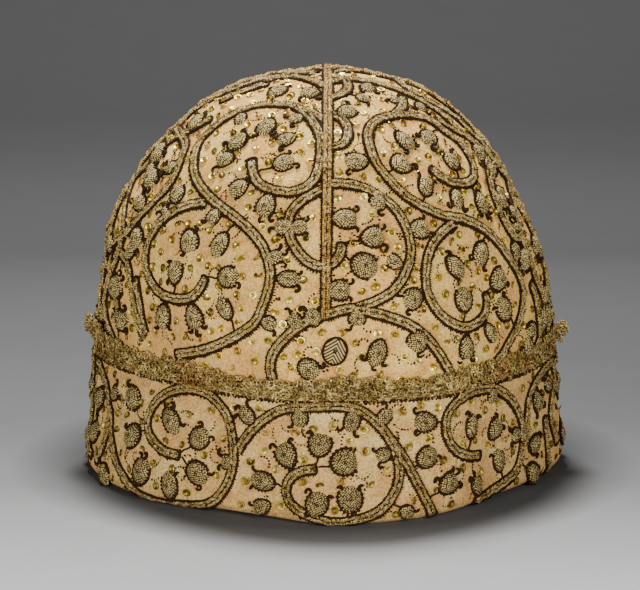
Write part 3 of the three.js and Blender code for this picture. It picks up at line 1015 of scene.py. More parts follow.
# Stems beside each side seam: degrees in front of the seam, and height in millimetres.
SIDE_STEMS = [
    [(23, 50), (16, 60), (13, 74), (18, 89), (20, 103), (14, 114), (8, 121)],
    [(4, 50), (9, 62), (7, 76), (3, 90), (8, 104), (5, 117), (12, 128)],
    [(30, 149), (21, 142), (13, 133), (10, 124)],
]
BRIM_STEMS = {
    "left_coil": [
        (179, 455), (163, 450), (151, 436), (148, 424), (153, 407), (167, 393), (187, 388), (208, 393),
        (224, 409), (232, 428), (234, 454), (232, 472), (224, 490), (210, 503), (180, 504), (146, 497),
        (129, 483), (117, 462), (112, 436), (110, 402), (105, 376), (99, 360),
    ],
    "middle_coil": [
        (315, 469), (301, 471), (289, 479), (286, 493), (292, 505), (310, 516), (335, 521), (362, 518),
        (382, 509), (394, 493), (399, 476), (398, 459), (389, 438), (375, 421), (358, 409), (336, 406),
        (310, 407), (292, 407), (275, 412), (258, 424), (244, 440), (235, 456),
    ],
    "link": [(390, 438), (406, 462), (417, 483), (427, 503), (432, 514)],
    "right_coil": [
        (479, 455), (465, 455), (453, 448), (446, 435), (446, 417), (455, 402), (470, 392), (491, 388),
        (505, 394), (517, 410), (522, 431), (520, 454), (515, 471), (499, 485), (474, 500),
    ],
    "right_side": [(524, 446), (526, 428), (526, 410), (529, 394), (535, 381), (543, 369), (553, 357)],
    "right_upright": [(545, 472), (547, 457), (546, 440), (544, 424), (544, 412)],
    "right_outer": [(551, 362), (553, 376), (551, 392), (549, 406), (550, 420), (554, 434), (556, 448)],
    "left_outer": [
        (100, 352), (97, 358), (95, 370), (95, 386), (94, 402), (93, 417), (91, 432), (90, 445),
        (94, 459),
    ],
    "left_low": [(112, 408), (110, 423), (107, 437), (103, 449), (98, 459), (96, 468)],
}

# Fruits: pixel x and y, and size as a share of the usual one. A half fruit leans on its stem.
CROWN_FRUITS = [
    (279, 92, 1), (312, 94, 0.9), (197, 123, 1.2), (241, 119, 0.7), (298, 119, 0.7), (267, 128, 1.05),
    (238, 142, 1.1), (287, 140, 0.85), (225, 160, 0.95), (285, 163, 0.95), (238, 189, 0.95),
    (266, 207, 1.05), (160, 154, 1.3), (172, 168, 0.8), (152, 179, 1.2), (178, 194, 0.95),
    (142, 204, 0.8), (214, 217, 0.8), (138, 239, 1.15), (190, 242, 1.1), (220, 245, 1.05), (176, 271, 1),
    (229, 277, 1), (117, 287, 1.25), (225, 308, 0.95), (164, 317, 1.1), (195, 318, 1.1), (122, 320, 1.25),
    (274, 258, 0.8), (284, 227, 0.85), (300, 227, 0.8), (289, 279, 0.9), (313, 317, 0.8),
    (295, 321, 0.75), (269, 323, 0.7), (309, 369, 0.95), (357, 318, 0.8), (350, 112, 0.95),
    (369, 89, 0.85), (365, 99, 0.7), (405, 142, 1.05), (428, 138, 0.95), (401, 164, 1.05),
    (357, 162, 1.05), (451, 161, 0.95), (425, 186, 1), (456, 199, 0.9), (481, 204, 1.05),
    (478, 153, 0.95), (378, 203, 0.8), (420, 229, 1), (347, 219, 1.05), (374, 237, 1.05),
    (365, 266, 1.15), (340, 290, 1), (455, 267, 1.1), (480, 254, 1.1), (498, 279, 1.15), (463, 299, 1.1),
    (503, 309, 1.15), (412, 299, 1), (394, 262, 0.75), (523, 259, 1.25), (537, 250, 1), (499, 192, 0.7),
    (377, 353, 1.05), (417, 342, 1), (466, 349, 1), (490, 333, 0.9), (527, 347, 1), (396, 101, 0.7),
    (420, 108, 0.75), (512, 212, 0.75), (516, 228, 0.6), (543, 295, 0.95), (542, 318, 1), (530, 330, 0.9),
    (107, 262, 0.8), (128, 232, 0.6), (166, 213, 0.6),
]
# Fruits beside each side seam: degrees in front of the seam, height in millimetres, and size.
SIDE_FRUITS = [
    (11, 67, 1), (12, 96, 1), (2, 83, 0.9), (23, 116, 0.9), (3, 110, 0.9), (27, 97, 0.9), (18, 128, 0.8),
    (3.6, 64, 0.85),
]
BRIM_SIDE_FRUITS = [(4.5, 13, 1.05), (4.5, 34, 1)]
LEAF_PIXEL = (335, 351)
BRIM_FRUITS = [
    (134, 398, 1.2), (101, 398, 1.1), (116, 393, 0.8), (172, 421, 1.15), (200, 438, 1.05),
    (133, 436, 1.2), (247, 415, 0.85), (300, 418, 0.8), (286, 454, 1.1), (320, 444, 1.05),
    (142, 471, 1.2), (170, 485, 1.1), (198, 473, 1.1), (227, 462, 0.7), (263, 481, 1.05), (261, 507, 0.8),
    (317, 504, 1.05), (105, 474, 1.05), (352, 421, 0.9), (345, 462, 1.2), (383, 455, 0.7),
    (384, 417, 0.8), (424, 422, 1), (427, 457, 1), (350, 499, 1.15), (449, 483, 1.05), (476, 485, 0.9),
    (471, 426, 1), (495, 428, 1), (498, 460, 1), (492, 396, 0.7), (407, 512, 0.7), (515, 435, 0.8),
    (534, 444, 1.1), (532, 473, 1.1), (96, 432, 1.1), (537, 402, 1.05), (547, 384, 0.8),
]


def beside_seam(x, y):
    """A crown pixel moved by as much as the photographed seam leans more than the cap's own."""
    lean = SEAM_SHIFT * min(max((324 - y) / 256, 0), 1)
    return x - lean * math.exp(-(((x - 328) / 42) ** 2)), y


def on_side(rows, turn, height, left):
    """The point of the linen some degrees in front of a side seam, at a height in millimetres."""
    azimuth = (180 + turn if left else -turn) % 360
    line = rows[::-1, int(azimuth / 360 * rows.shape[1])]
    return np.array([np.interp(height * MM, line[:, 2], line[:, k]) for k in range(3)])


def steadied(tree, controls):
    """A charted line smoothed, and more so where the camera sees the linen on edge."""
    points, normals = nearest(tree, evenly(controls, 1 * MM))
    share = np.clip((0.42 - np.abs(normals @ back)) / 0.25, 0, 1)
    share = smoothed(share[:, None], 60, wrap=False)
    line = smoothed(points, 8, wrap=False) * (1 - share) + smoothed(points, 110, wrap=False) * share
    return np.concatenate([points[:1], line[1:-1], points[-1:]])


def chart_stems(tree, chart):
    """Every stem's path, on the front and half a turn round on the back."""
    paths = []
    for pixels in chart.values():
        controls = [p for p in (on_linen(tree, *pixel) for pixel in pixels) if p is not None]
        controls = steadied(tree, controls)[::3]
        for turned in (controls, half_turn(controls)):
            paths.append(laid_path(tree, turned))
    return paths


def side_stems():
    """The stems beside the side seams, at all four corners of the crown."""
    paths = []
    for spots in SIDE_STEMS:
        for left in (False, True):
            controls = np.array([on_side(crown_rows, turn, height, left) for turn, height in spots])
            paths += [laid_path(crown_tree, turned) for turned in (controls, half_turn(controls))]
    return paths


def seam_path(azimuth):
    """Down one seam from the top to the end of its dart."""
    column = int(round(azimuth / 360 * round_columns)) % round_columns
    line = crown_rows[:, column]
    node = {0: "seam_braid_right", 180: "seam_braid_left"}.get(azimuth, "seam_braid_front_back")
    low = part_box(node)[0][2]
    rows = line[line[:, 2] > low]
    if azimuth in (90, 270):
        share = (rows[:, 2] - low) / (rows[0, 2] - low)
        rows = rows + np.array([1.0, 0, 0]) * SEAM_LEAN * share[:, None]
    return laid_path(crown_tree, rows[::3])


crown_chart = {
    name: [beside_seam(*pixel) for pixel in pixels] for name, pixels in CROWN_STEMS.items()
}
crown_paths = chart_stems(crown_tree, crown_chart) + side_stems()
brim_paths = chart_stems(brim_tree, BRIM_STEMS)
seam_paths = {azimuth: seam_path(azimuth) for azimuth in (0, 90, 180, 270)}


def point_tree(points):
    tree = KDTree(len(points))
    for index, p in enumerate(points):
        tree.insert(Vector(p), index)
    tree.balance()
    return tree


def end_cap(path, width, end):
    """Black silk round the cut end of a braid, whose index is 0 or -1."""
    outward = path.along[end] * (1 if end else -1)
    normal = path.normals[end]
    axes = np.array([outward, np.cross(normal, outward), normal])
    swing = np.linspace(-math.pi / 2, math.pi / 2, 9)
    half = width / 2 + 0.25 * MM
    line = np.stack([0.4 * half * np.cos(swing) - 0.2 * MM, half * np.sin(swing)], axis=1)
    return thin_cord(flat_path(path.points[end], axes, line, 0.1 * MM), 1.15 * MM)


def free_end_caps(paths, others, width):
    """Caps for the ends that run into no other stem."""
    caps = []
    for path in paths:
        lines = point_tree(np.concatenate([p.points for p in [*paths, *others] if p is not path]))
        for end in (0, -1):
            if lines.find(Vector(path.points[end]))[2] > width * 0.8:
                caps.append(end_cap(path, width, end))
    return caps


def stitch_template(long, wide, high):
    """One small stitch along +X, a ridge with sloping ends."""
    foot = [(-0.5, -0.5, 0), (-0.5, 0.5, 0), (0.5, 0.5, 0), (0.5, -0.5, 0)]
    points = np.array([*foot, (-0.25, 0, 1), (0.25, 0, 1)]) * np.array([long, wide, high])
    quads = np.array([(0, 3, 5, 4), (2, 1, 4, 5)])
    triangles = np.array([(1, 0, 4), (3, 2, 5)])
    return points, [quads, triangles]


def make_stems(name, paths, others, plait, thread, silk_reach):
    """The braids of all stems, the stitches over them, and the black silk beside them."""
    braids = merged([braid_parts(path, STEM_WIDTH, STEM_RISE, STEM_GROOVE) for path in paths])
    mesh_piece(f"{name}_stem_braids", braids, plait)
    laid = [plait_stitches(path, STEM_WIDTH, STEM_RISE) for path in paths]
    places, axes = (np.concatenate(rows) for rows in zip(*laid))
    points, faces = stitch_template(*PLAIT_STITCH)
    stitches = copies((points, faces[:1]), places, axes, rng.uniform(0.75, 1.2, len(places)))
    mesh_piece(f"{name}_stem_stitches", stitches, thread)
    edges = [part for path in paths
             for part in silk_edges(path, STEM_WIDTH, 0.45 * silk_reach, silk_reach)]
    edges = merged(edges + free_end_caps(paths, others, STEM_WIDTH))
    mesh_piece(f"{name}_stem_silk_edges", edges, black_silk)


def make_seams():
    """The braids over the darts, with black silk beside them."""
    long_seam = [seam_paths[90], seam_paths[270]]
    for name, paths, node in (
        ("seam_plait_front_back", long_seam, "seam_braid_front_back"),
        ("seam_plait_left", [seam_paths[180]], "seam_braid_left"),
        ("seam_plait_right", [seam_paths[0]], "seam_braid_right"),
    ):
        braids = merged([braid_parts(path, SEAM_WIDTH, SEAM_RISE, SEAM_GROOVE) for path in paths])
        piece = mesh_piece(name, braids, seam_metal)
        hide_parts(node)
    edges = merged([part for path in seam_paths.values()
                    for part in silk_edges(path, SEAM_WIDTH, 0.5 * SEAM_SILK, SEAM_SILK)])
    mesh_piece("seam_silk_edges", edges, black_silk)


def arc(start, heading, radius, turn, steps):
    """Plane points along an arc from a start, with a heading in radians, turning by turn radians."""
    centre = start + radius * np.array([-math.sin(heading), math.cos(heading)]) * np.sign(turn)
    swing = heading - math.copysign(math.pi / 2, turn) + np.linspace(0, turn, steps)
    return centre + radius * np.stack([np.cos(swing), np.sin(swing)], axis=1)


def flat_path(place, axes, plane_points, lift):
    """A path through plane points in metres, set on the linen at a place."""
    points = place + plane_points @ axes[:2] + axes[2] * lift
    return Path(points, np.repeat(axes[2:3], len(points), axis=0))


def thin_cord(path, width):
    """A strip of silk as wide as the width, and a little lower."""
    return swept(path, [(a * width, u * width) for a, u in CORD_SECTION], ends=False)[:2]


make_stems("crown", crown_paths, list(seam_paths.values()), crown_metal, crown_thread, CROWN_SILK)
make_stems("brim", brim_paths, [], brim_metal, brim_thread, BRIM_SILK)
make_seams()

crown_lines = point_tree(np.concatenate([p.points for p in [*crown_paths, *seam_paths.values()]]))
brim_lines = point_tree(np.concatenate([p.points for p in brim_paths]))


# Fruits

# Their forms: degrees round from the tip, and the reach there as a share of the fruit's radius.
# The stalk is at 180.
FRUIT_FORMS = {
    "shield": [(0, 0.78), (38, 0.98), (62, 1.0), (95, 0.92), (130, 0.92), (180, 1.14)],
    "round": [(0, 0.95), (60, 1.0), (120, 0.98), (180, 1.0)],
    "barrel": [(0, 1.14), (45, 0.96), (90, 0.82), (135, 0.92), (180, 1.1)],
    "dome": [(0, 0.7), (40, 0.95), (75, 1.06), (120, 0.98), (180, 0.96)],
}
LEAF_FORM = [(0, 1.08), (40, 0.98), (90, 0.86), (140, 0.94), (180, 1.02)]
# Hooks of a fruit: the bearing from its tip in radians, the way each curls, and how many fruits have it.
HOOKS = [(0.75, 1, 0.72), (-0.75, -1, 0.72), (0.1, 1, 0.25), (2.5, 1, 0.2)]
FORM_SHARES = [0.36, 0.26, 0.22, 0.16]  # how often each form occurs
DOTTED_LINES = 3  # beside each fruit


def outline_reach(form, angles):
    """A form's reach at each angle in radians from the tip, alike on both sides."""
    degrees, reaches = np.transpose(form)
    return np.interp(np.abs(np.degrees(np.angle(np.exp(1j * angles)))), degrees, reaches)


def domed(outline, width, rise, knobs):
    """A dome over an outline, from its middle point out in rings. Knobs are added to the rings."""
    rings, around = knobs.shape
    angle = ring_angles(around)
    share = (np.arange(1, rings + 1) / rings)[:, None]
    flat = share * outline
    height = (1 - share**3) * rise + knobs
    rows = np.stack([flat * np.cos(angle), flat * width * np.sin(angle), height], axis=2)
    k = np.arange(around)
    cap = np.stack([0 * k, 1 + k, 1 + (k + 1) % around], axis=1)
    points = np.concatenate([[[0, 0, rise]], rows.reshape(-1, 3)])
    return points, [cap, grid_faces(rings, around)[:, ::-1] + 1]


def fruit_template(form):
    """A padded, slightly knobbly fruit, with UV in loops of its stitching. +X is the tip."""
    rings, around = 7, 28
    outline = smoothed(outline_reach(FRUIT_FORMS[form], ring_angles(around)), 2, wrap=True)
    knobs = rng.uniform(-0.03, 0.03, (rings, around))
    knobs[-1] = 0
    points, faces = domed(outline, FRUIT_WIDTH, FRUIT_RISE / FRUIT_RADIUS, knobs)
    points = points * FRUIT_RADIUS
    slanted = np.stack([points[:, 0] + points[:, 1], points[:, 0] - points[:, 1]], axis=1) / math.sqrt(2)
    return points, faces, slanted / BEAD


def rim_template(form):
    """The black stitching of a fruit: a line round its stalk end and flanks, with short teeth across it."""
    angle = np.radians(np.linspace(50, 310, 31))
    reach = outline_reach(FRUIT_FORMS[form], angle) * 1.02 * FRUIT_RADIUS
    line = np.stack([reach * np.cos(angle), FRUIT_WIDTH * reach * np.sin(angle)], axis=1)
    cord = thin_cord(flat_path(np.zeros(3), np.eye(3), line, 0.05 * MM), FRUIT_RIM)
    spots = np.concatenate([line[1::2] * 0.98, np.full((len(line[1::2]), 1), 0.45 * MM)], axis=1)
    outward = unit(spots * np.array([1, 1, 0]))
    axes = np.stack([outward, np.cross(UP, outward), np.broadcast_to(UP, outward.shape)], axis=1)
    teeth = copies(stitch_template(*RIM_TOOTH), spots, axes, rng.uniform(0.7, 1.25, len(spots)))
    return merged([cord, teeth])[:2]


def axes_along(directions, normals):
    """Axes on the linen whose first leads as nearly as it can along a direction."""
    first = unit(directions - normals * (directions * normals).sum(axis=1, keepdims=True))
    return np.stack([first, np.cross(normals, first), normals], axis=1)


def fruit_places(tree, lines, charted):
    """Place, axes, size and the stem's nearest point for each charted fruit, front and back."""
    spots = [pair for spot, size in charted for pair in ((spot, size), (half_turn(spot), size))]
    places, normals = nearest(tree, [s[0] for s in spots])
    stalks = np.array([lines.find(Vector(p))[0] for p in places])
    return places, axes_along(places - stalks, normals), np.array([s[1] for s in spots]), stalks


def laid_cord(tree, place, axes, plane_points, width):
    """A thin cord laid on the linen along plane points about a place, or none near the floor."""
    points, normals = nearest(tree, place + plane_points @ axes[:2])
    if points[:, 2].min() < FLOOR_GAP:
        return []
    path = Path(points, normals)
    path.points = points + normals * 0.08 * MM
    return [thin_cord(path, width)]


def hooks_and_stalks(tree, places, axes, sizes, stalks):
    """The black stalk of each fruit, and the thick hooks that curl from the corners of its far end."""
    parts = []
    for place, frame_axes, size, stalk in zip(places, axes, sizes, stalks):
        radius = FRUIT_RADIUS * size
        gap = np.linalg.norm(stalk - place)
        if radius + 0.5 * MM < gap < radius + 8 * MM:
            straight = np.linspace(radius * 0.85, gap - STEM_WIDTH / 2 + 0.2 * MM, 5)
            line = np.stack([-straight, 0.45 * MM * np.sin(straight * 800)], axis=1)
            parts += laid_cord(tree, place, frame_axes, line, 0.8 * MM)
        for bearing, side, chance in HOOKS:
            if rng.uniform() > chance:
                continue
            bearing += rng.uniform(-0.2, 0.2)
            start = radius * np.array([0.86, 0.8]) * plane_direction(bearing)
            heading = bearing - 0.35 * side
            ahead = start + rng.uniform(0.6, 1.6) * MM * plane_direction(heading)
            curl = arc(ahead, heading, rng.uniform(0.75, 1.15) * MM, side * rng.uniform(1.9, 3.6), 9)
            line = np.concatenate([[start], curl])
            parts += laid_cord(tree, place, frame_axes, line, rng.uniform(1.0, 1.55) * MM)
    return parts


def dot_runs(tree, places, axes, sizes):
    """Dotted lines of small stitches that curl away from the fruits."""
    spots, frames = [], []
    for place, frame_axes, size in zip(places, axes, sizes):
        for _ in range(DOTTED_LINES):
            bearing = rng.uniform(0, 2 * math.pi)
            start = (FRUIT_RADIUS * size + FRUIT_CLEAR) * plane_direction(bearing)
            turn = rng.choice([-1, 1]) * rng.uniform(0.8, 2.6)
            count = int(rng.integers(3, 8))
            for dot in arc(start, bearing, 1.05 * MM * count / abs(turn), turn, count):
                spots.append(place + dot @ frame_axes[:2])
                frames.append(frame_axes)
    spots = nearest(tree, spots)[0]
    above = spots[:, 2] > FLOOR_GAP
    sizes = rng.uniform(0.65, 1.25, above.sum())
    return copies(stitch_template(*DOT_STITCH), spots[above], np.array(frames)[above], sizes)


def make_fruits(name, tree, lines, charted, knots):
    """All fruits with their black silk and the dotted stitches round them."""
    places, axes, sizes, stalks = fruit_places(tree, lines, charted)
    forms = rng.choice(list(FRUIT_FORMS), size=len(places), p=FORM_SHARES)
    fruits, rims = [], []
    for form in FRUIT_FORMS:
        chosen = forms == form
        points, faces, uv = fruit_template(form)
        fruits.append((*copies((points, faces), places[chosen], axes[chosen], sizes[chosen]),
                       np.tile(uv, (chosen.sum(), 1)) * np.repeat(sizes[chosen], len(uv))[:, None]))
        rims.append(copies(rim_template(form), places[chosen], axes[chosen], sizes[chosen]))
    mesh_piece(f"{name}_fruits", merged(fruits), knots)
    stitched = merged([*rims, *hooks_and_stalks(tree, places, axes, sizes, stalks)])
    mesh_piece(f"{name}_fruit_silk", stitched, black_silk)
    dots = dot_runs(tree, places, axes, sizes)
    mesh_piece(f"{name}_dotted_stitches", dots, brown_silk)
    return places, sizes


crown_charted = [(on_linen(crown_tree, *beside_seam(x, y)), size) for x, y, size in CROWN_FRUITS]
crown_charted += [(on_side(crown_rows, turn, height, left), size)
                  for turn, height, size in SIDE_FRUITS for left in (False, True)]
brim_charted = [(on_linen(brim_tree, x, y), size) for x, y, size in BRIM_FRUITS]
brim_charted += [(on_side(brim_rows, turn, height, left), size)
                 for turn, height, size in BRIM_SIDE_FRUITS for left in (False, True)]
crown_fruits = make_fruits("crown", crown_tree, crown_lines, crown_charted, crown_knots)
brim_fruits = make_fruits("brim", brim_tree, brim_lines, brim_charted, brim_knots)


def make_leaf():
    """The striped leaf below the front seam, and its fellow at the back."""
    spot = on_linen(crown_tree, *LEAF_PIXEL)
    places, normals = nearest(crown_tree, [spot, half_turn(spot)])
    axes = axes_along(-UP - np.array([[0.3, 0, 0], [-0.3, 0, 0]]), normals)
    points, faces = domed(outline_reach(LEAF_FORM, ring_angles(30)), 1, LEAF_RISE, np.zeros((6, 30)))
    points = points * LEAF_RADIUS
    outline = points[-30:] * 1.03
    closed = np.concatenate([outline, outline[:1]])[:, :2]
    edge = thin_cord(flat_path(np.zeros(3), np.eye(3), closed, 0.05 * MM), 0.95 * MM)
    leaves = (*copies((points, faces), places, axes), np.tile(points[:, :2] / MM, (2, 1)))
    mesh_piece("striped_leaves", leaves, striped)
    mesh_piece("striped_leaf_silk", copies(edge, places, axes), black_silk)


make_leaf()


# Spangles


def spangle_template():
    """A thin round disc with a hole at its middle, dished like a shallow bowl."""
    around = 13
    rings = [(0.24, 0.02), (0.32, 0.12), (0.66, 0.15), (0.9, 0.32), (1.0, 0.22)]
    rows = [circle(ring_angles(around), radius) + UP * height for radius, height in rings]
    return np.concatenate(rows) * SPANGLE_RADIUS, [grid_faces(len(rings), around)[:, ::-1]]


def scatter(tree, low, high, spacing, lines, fruits, tries):
    """Random spots on the linen between two heights, apart from each other, stems and fruits."""
    fruit_points, fruit_sizes = fruits
    fruit_lookup = point_tree(fruit_points)
    kept = []
    for _ in range(tries):
        turn, z = rng.uniform(0, 2 * math.pi), rng.uniform(low, high)
        out = np.array([math.cos(turn), math.sin(turn), 0])
        if z > CROWN_CENTRE:
            lift = min(0.999, (z - CROWN_CENTRE) / (high - CROWN_CENTRE))
            out = out * math.sqrt(1 - lift**2) + UP * lift
            centre = UP * CROWN_CENTRE
        else:
            centre = UP * z
        hit = tree.ray_cast(Vector(centre + out * 0.3), Vector(-out))
        if hit[0] is None:
            continue
        p = np.array(hit[0])
        if lines.find(Vector(p))[2] < STEM_WIDTH / 2 + STEM_CLEAR:
            continue
        _, index, distance = fruit_lookup.find(Vector(p))
        if distance < FRUIT_RADIUS * fruit_sizes[index] + FRUIT_CLEAR:
            continue
        if kept and np.linalg.norm(np.array(kept) - p, axis=1).min() < spacing * rng.uniform(0.8, 1.2):
            continue
        kept.append(p)
    return np.array(kept)


def make_spangles(name, tree, spots, gilt):
    """Spangles at the spots, each held by a stitch over its rim."""
    places, normals = nearest(tree, spots)
    tilt = unit(normals + rng.normal(scale=SPANGLE_TILT, size=normals.shape))
    side = unit(np.cross(tilt, rng.normal(size=normals.shape)))
    axes = np.stack([side, np.cross(tilt, side), tilt], axis=1)
    sizes = rng.uniform(0.88, 1.12, len(places))
    spangles = copies(spangle_template(), places + normals * 0.16 * MM, axes, sizes)
    mesh_piece(f"{name}_spangles", spangles, gilt)
    stitch = stitch_template(*SPANGLE_STITCH)
    held = places + normals * 0.34 * MM + axes[:, 0] * 0.6 * MM
    mesh_piece(f"{name}_spangle_threads", copies(stitch, held, axes, sizes), yellow_silk)


crown_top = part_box("crown")[1][2]
crown_spots = scatter(
    crown_tree, 50 * MM, crown_top, SPANGLE_SPACING, crown_lines, crown_fruits, 14000
)
brim_spots = scatter(
    brim_tree, 4 * MM, 45 * MM, BRIM_SPANGLE_SPACING, brim_lines, brim_fruits, 7000
)
make_spangles("crown", crown_tree, crown_spots, crown_gilt)
make_spangles("brim", brim_tree, brim_spots, brim_gilt)


# Lace


def wall_reach(tree, height):
    """The distance of a surface from the axis at every fine azimuth, at a height."""
    return np.array([cast_inwards(tree, UP * height, out) for out in fine_out])


lace_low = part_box("lace_edging")[0][2]
crown_near = wall_reach(crown_tree, lace_low)
crown_far = wall_reach(crown_tree, lace_low + LACE_HEIGHT)


def round_to(turn, angle):
    """How far each angle is from another, the short way round."""
    return np.angle(np.exp(1j * (turn - angle)))


def lace_point(turn, up, out):
    """Points on the lace: turn in radians round the cap, up above the brim's edge, out from the crown."""
    at = np.mod(np.asarray(turn) / (2 * math.pi) * round_columns, round_columns)
    index = np.arange(round_columns + 1)
    near, far, edge = (
        np.interp(at, index, np.append(ring, ring[0])) for ring in (crown_near, crown_far, brim_edge)
    )
    share = up / LACE_HEIGHT
    side = np.minimum(np.abs(round_to(turn, 0)), np.abs(round_to(turn, math.pi)))
    spring = LACE_SPRING * np.clip(share, 0, 1) ** 2 * np.exp(-(side / math.radians(9)) ** 2)
    ruffle = LACE_RUFFLE * np.clip(share, 0, 1) * noise(circle(turn, 0.1), linen_waves)
    over_brim = 1.7 * MM * np.clip(1 - up / (4 * MM), 0, 1)
    reach = near + (far - near) * share + LACE_PROUD + out + over_brim + spring + ruffle
    return circle(turn) * reach[..., None] + UP * (edge + up)[..., None]


def lace_limit(turn):
    """How high the band reaches: scallops on a slow wave, and a bunch at each side."""
    height = LACE_HEIGHT * (0.6 + 0.12 * np.abs(np.sin(turn * LACE_SCALLOPS / 2))
                            + 0.14 * noise(circle(turn, 0.06), linen_waves))
    for angle, spread, extra in (LEFT_BUNCH, RIGHT_BUNCH):
        height = height + extra * np.exp(-(round_to(turn, angle) / spread) ** 2)
    return height


def tube(points, radius, sides=4):
    """A thin round thread along points."""
    along = unit(np.gradient(points, axis=0))
    one = unit(np.cross(along, UP + 0.01))
    two = np.cross(along, one)
    angle = ring_angles(sides)
    rings = (points[:, None] + radius * (one[:, None] * np.cos(angle)[None, :, None]
                                         + two[:, None] * np.sin(angle)[None, :, None]))
    return grid_part(rings)


def zigzag(period, low, high, phase, out, ragged):
    """A thread up and down the band all the way round, between two shares of its height."""
    waves = int(round(lace_girth / period))
    u = np.arange(waves * 7) / (waves * 7)
    swing = 2 * math.pi * waves * u + phase
    turn = 2 * math.pi * u + 0.28 * period / crown_near.mean() * np.sin(2 * swing)
    jag = np.interp(u * waves, np.arange(waves + 1), rng.uniform(1 - ragged, 1 + ragged, waves + 1))
    up = lace_limit(turn) * (low + (high * jag - low) * (0.5 - 0.5 * np.cos(swing)))
    return lace_point(turn, up, out + 0.3 * MM * np.sin(swing * 1.5 + phase))


def loop_template():
    """A small closed loop of thread."""
    swing = np.linspace(0, 2 * math.pi, 9)[:, None]
    section = ring_angles(3)
    reach = LOOP_RADIUS + LOOP_THREAD * np.cos(section)
    height = LOOP_THREAD * np.sin(section) + 0 * swing
    return grid_part(np.stack([reach * np.cos(swing), reach * np.sin(swing), height], axis=2))


def twist_template():
    """An open crescent of thread, ridged along its middle."""
    swing = np.linspace(-1.8, 1.8, 6)
    half = 0.9 * LOOP_THREAD
    rings = [(LOOP_RADIUS - half, 0.0), (LOOP_RADIUS, 1.3 * LOOP_THREAD), (LOOP_RADIUS + half, 0.0)]
    lines = [circle(swing, radius) + UP * height for radius, height in rings]
    return grid_part(np.stack(lines, axis=1), wrap=False)


def lace_spots(step, row_step):
    """Places in uneven rows that fill the band."""
    places = []
    count = int(lace_girth / step)
    for row in range(int(1.8 * LACE_HEIGHT / row_step)):
        turn = (np.arange(count) + 0.5 * (row % 2) + rng.uniform(-0.4, 0.4, count)) * 2 * math.pi / count
        up = (row + rng.uniform(-0.4, 0.4, count)) * row_step - 0.2 * MM
        kept = up < lace_limit(turn)
        places.append(lace_point(turn[kept], up[kept], rng.uniform(0.0, 0.6, kept.sum()) * MM))
    return np.concatenate(places)


def set_in_lace(template, places, sizes):
    """Copies of a bit of thread that face out of the band, each turned its own way."""
    facing = unit(unit(places * np.array([1, 1, 0.2])) + rng.normal(scale=0.34, size=places.shape))
    side = unit(np.cross(facing, rng.normal(size=places.shape)))
    return copies(template, places, np.stack([side, np.cross(facing, side), facing], axis=1), sizes)


def lace_loops():
    """Closed loops here and there in the band, and a row of them along its upper edge."""
    count = LACE_SCALLOPS * 8
    turn = (np.arange(count) + rng.uniform(-0.3, 0.3, count)) * 2 * math.pi / count
    edge = lace_point(turn, lace_limit(turn) + rng.uniform(-0.5, 0.4, count) * MM, 0.3 * MM)
    spots = lace_spots(LOOP_STEP, 2 * LACE_ROW)
    sizes = np.concatenate([rng.uniform(0.9, 1.5, count), rng.uniform(0.7, 1.2, len(spots))])
    return set_in_lace(loop_template(), np.concatenate([edge, spots]), sizes)


def loose_end(start, heading, length, curl):
    """A frayed end of thread that wanders off in a widening curl."""
    run = np.linspace(0, 1, 10)[:, None]
    one = unit(np.cross(heading, UP + 0.02))
    two = np.cross(heading, one)
    swing = run * rng.uniform(4, 8) + rng.uniform(0, 6)
    points = start + heading * length * run + curl * run * (one * np.cos(swing) + two * np.sin(swing))
    return tube(points, LOOP_THREAD * 0.85, 3)


def frayed_ends():
    """Tufts of loose ends where the lace is bunched at each side."""
    parts = []
    for (angle, spread, _), count, length in FRAYS:
        turns = angle + rng.normal(scale=spread * 0.35, size=count)
        ups = lace_limit(turns) * rng.uniform(0.45, 1.0, count)
        starts = lace_point(turns, ups, np.full(count, 0.4 * MM))
        for start in starts:
            heading = unit(unit(start * np.array([1, 1, 0])) + rng.normal(scale=0.5, size=3))
            long, curl = length * rng.uniform(0.5, 1.2), rng.uniform(0.5, 1.3) * MM
            parts.append(loose_end(start, heading, long, curl))
    return parts


def make_lace():
    """The band: zigzag threads, loops, twists and frayed ends over a dark ground, which is painted shade in
    the lace's holes.
    """
    threads = [tube(zigzag(*settings), LACE_THREAD) for settings in ZIGZAGS]
    parts = merged([*threads, *frayed_ends()])
    piece = mesh_piece("lace_threads", parts, lace_metal)
    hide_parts("lace_edging")
    mesh_piece("lace_loops", lace_loops(), lace_metal)
    spots = lace_spots(TWIST_STEP, LACE_ROW)
    twists = set_in_lace(twist_template(), spots, rng.uniform(0.7, 1.35, len(spots)))
    mesh_piece("lace_twists", twists, lace_metal)
    # The dark ground under the threads is painted shade for the lace's holes.
    limit = lace_limit(fine_azimuths)
    ground = np.array([
        lace_point(fine_azimuths, limit * share - 0.4 * MM * (share == 0), out * MM)
        for share, out in ((0, -1.6), (0, 0.1), (0.3, 0.1), (0.6, 0.0), (0.88, -0.3))
    ])
    mesh_piece("lace_ground", grid_part(ground), lace_painted_shade)


lace_girth = 2 * math.pi * crown_near.mean()
make_lace()


def make_edge_stitches():
    """The line of black silk stitches along the brim's upper edge."""
    line = brim_rows[0] - UP * 0.6 * MM
    closed = np.concatenate([line, line[:1]])
    path = laid_path(brim_tree, closed[::2], spacing=0.8 * MM)
    edges = merged(silk_edges(path, 0.5 * MM, 0.3 * MM, 0.85 * MM))
    mesh_piece("brim_edge_silk", edges, black_silk)


make_edge_stitches()


# Setting

# The floor's grey from front to back, a painted fall-off of light: metres along Y, and the tone there.
# Far off it is the dark of the backdrop.
PAINTED_FLOOR_FALLOFF = [
    (-0.19, 172), (-0.09, 142), (-0.04, 120), (0.07, 103), (0.22, 91), (0.51, 71), (0.98, 85), (1.7, 118),
]
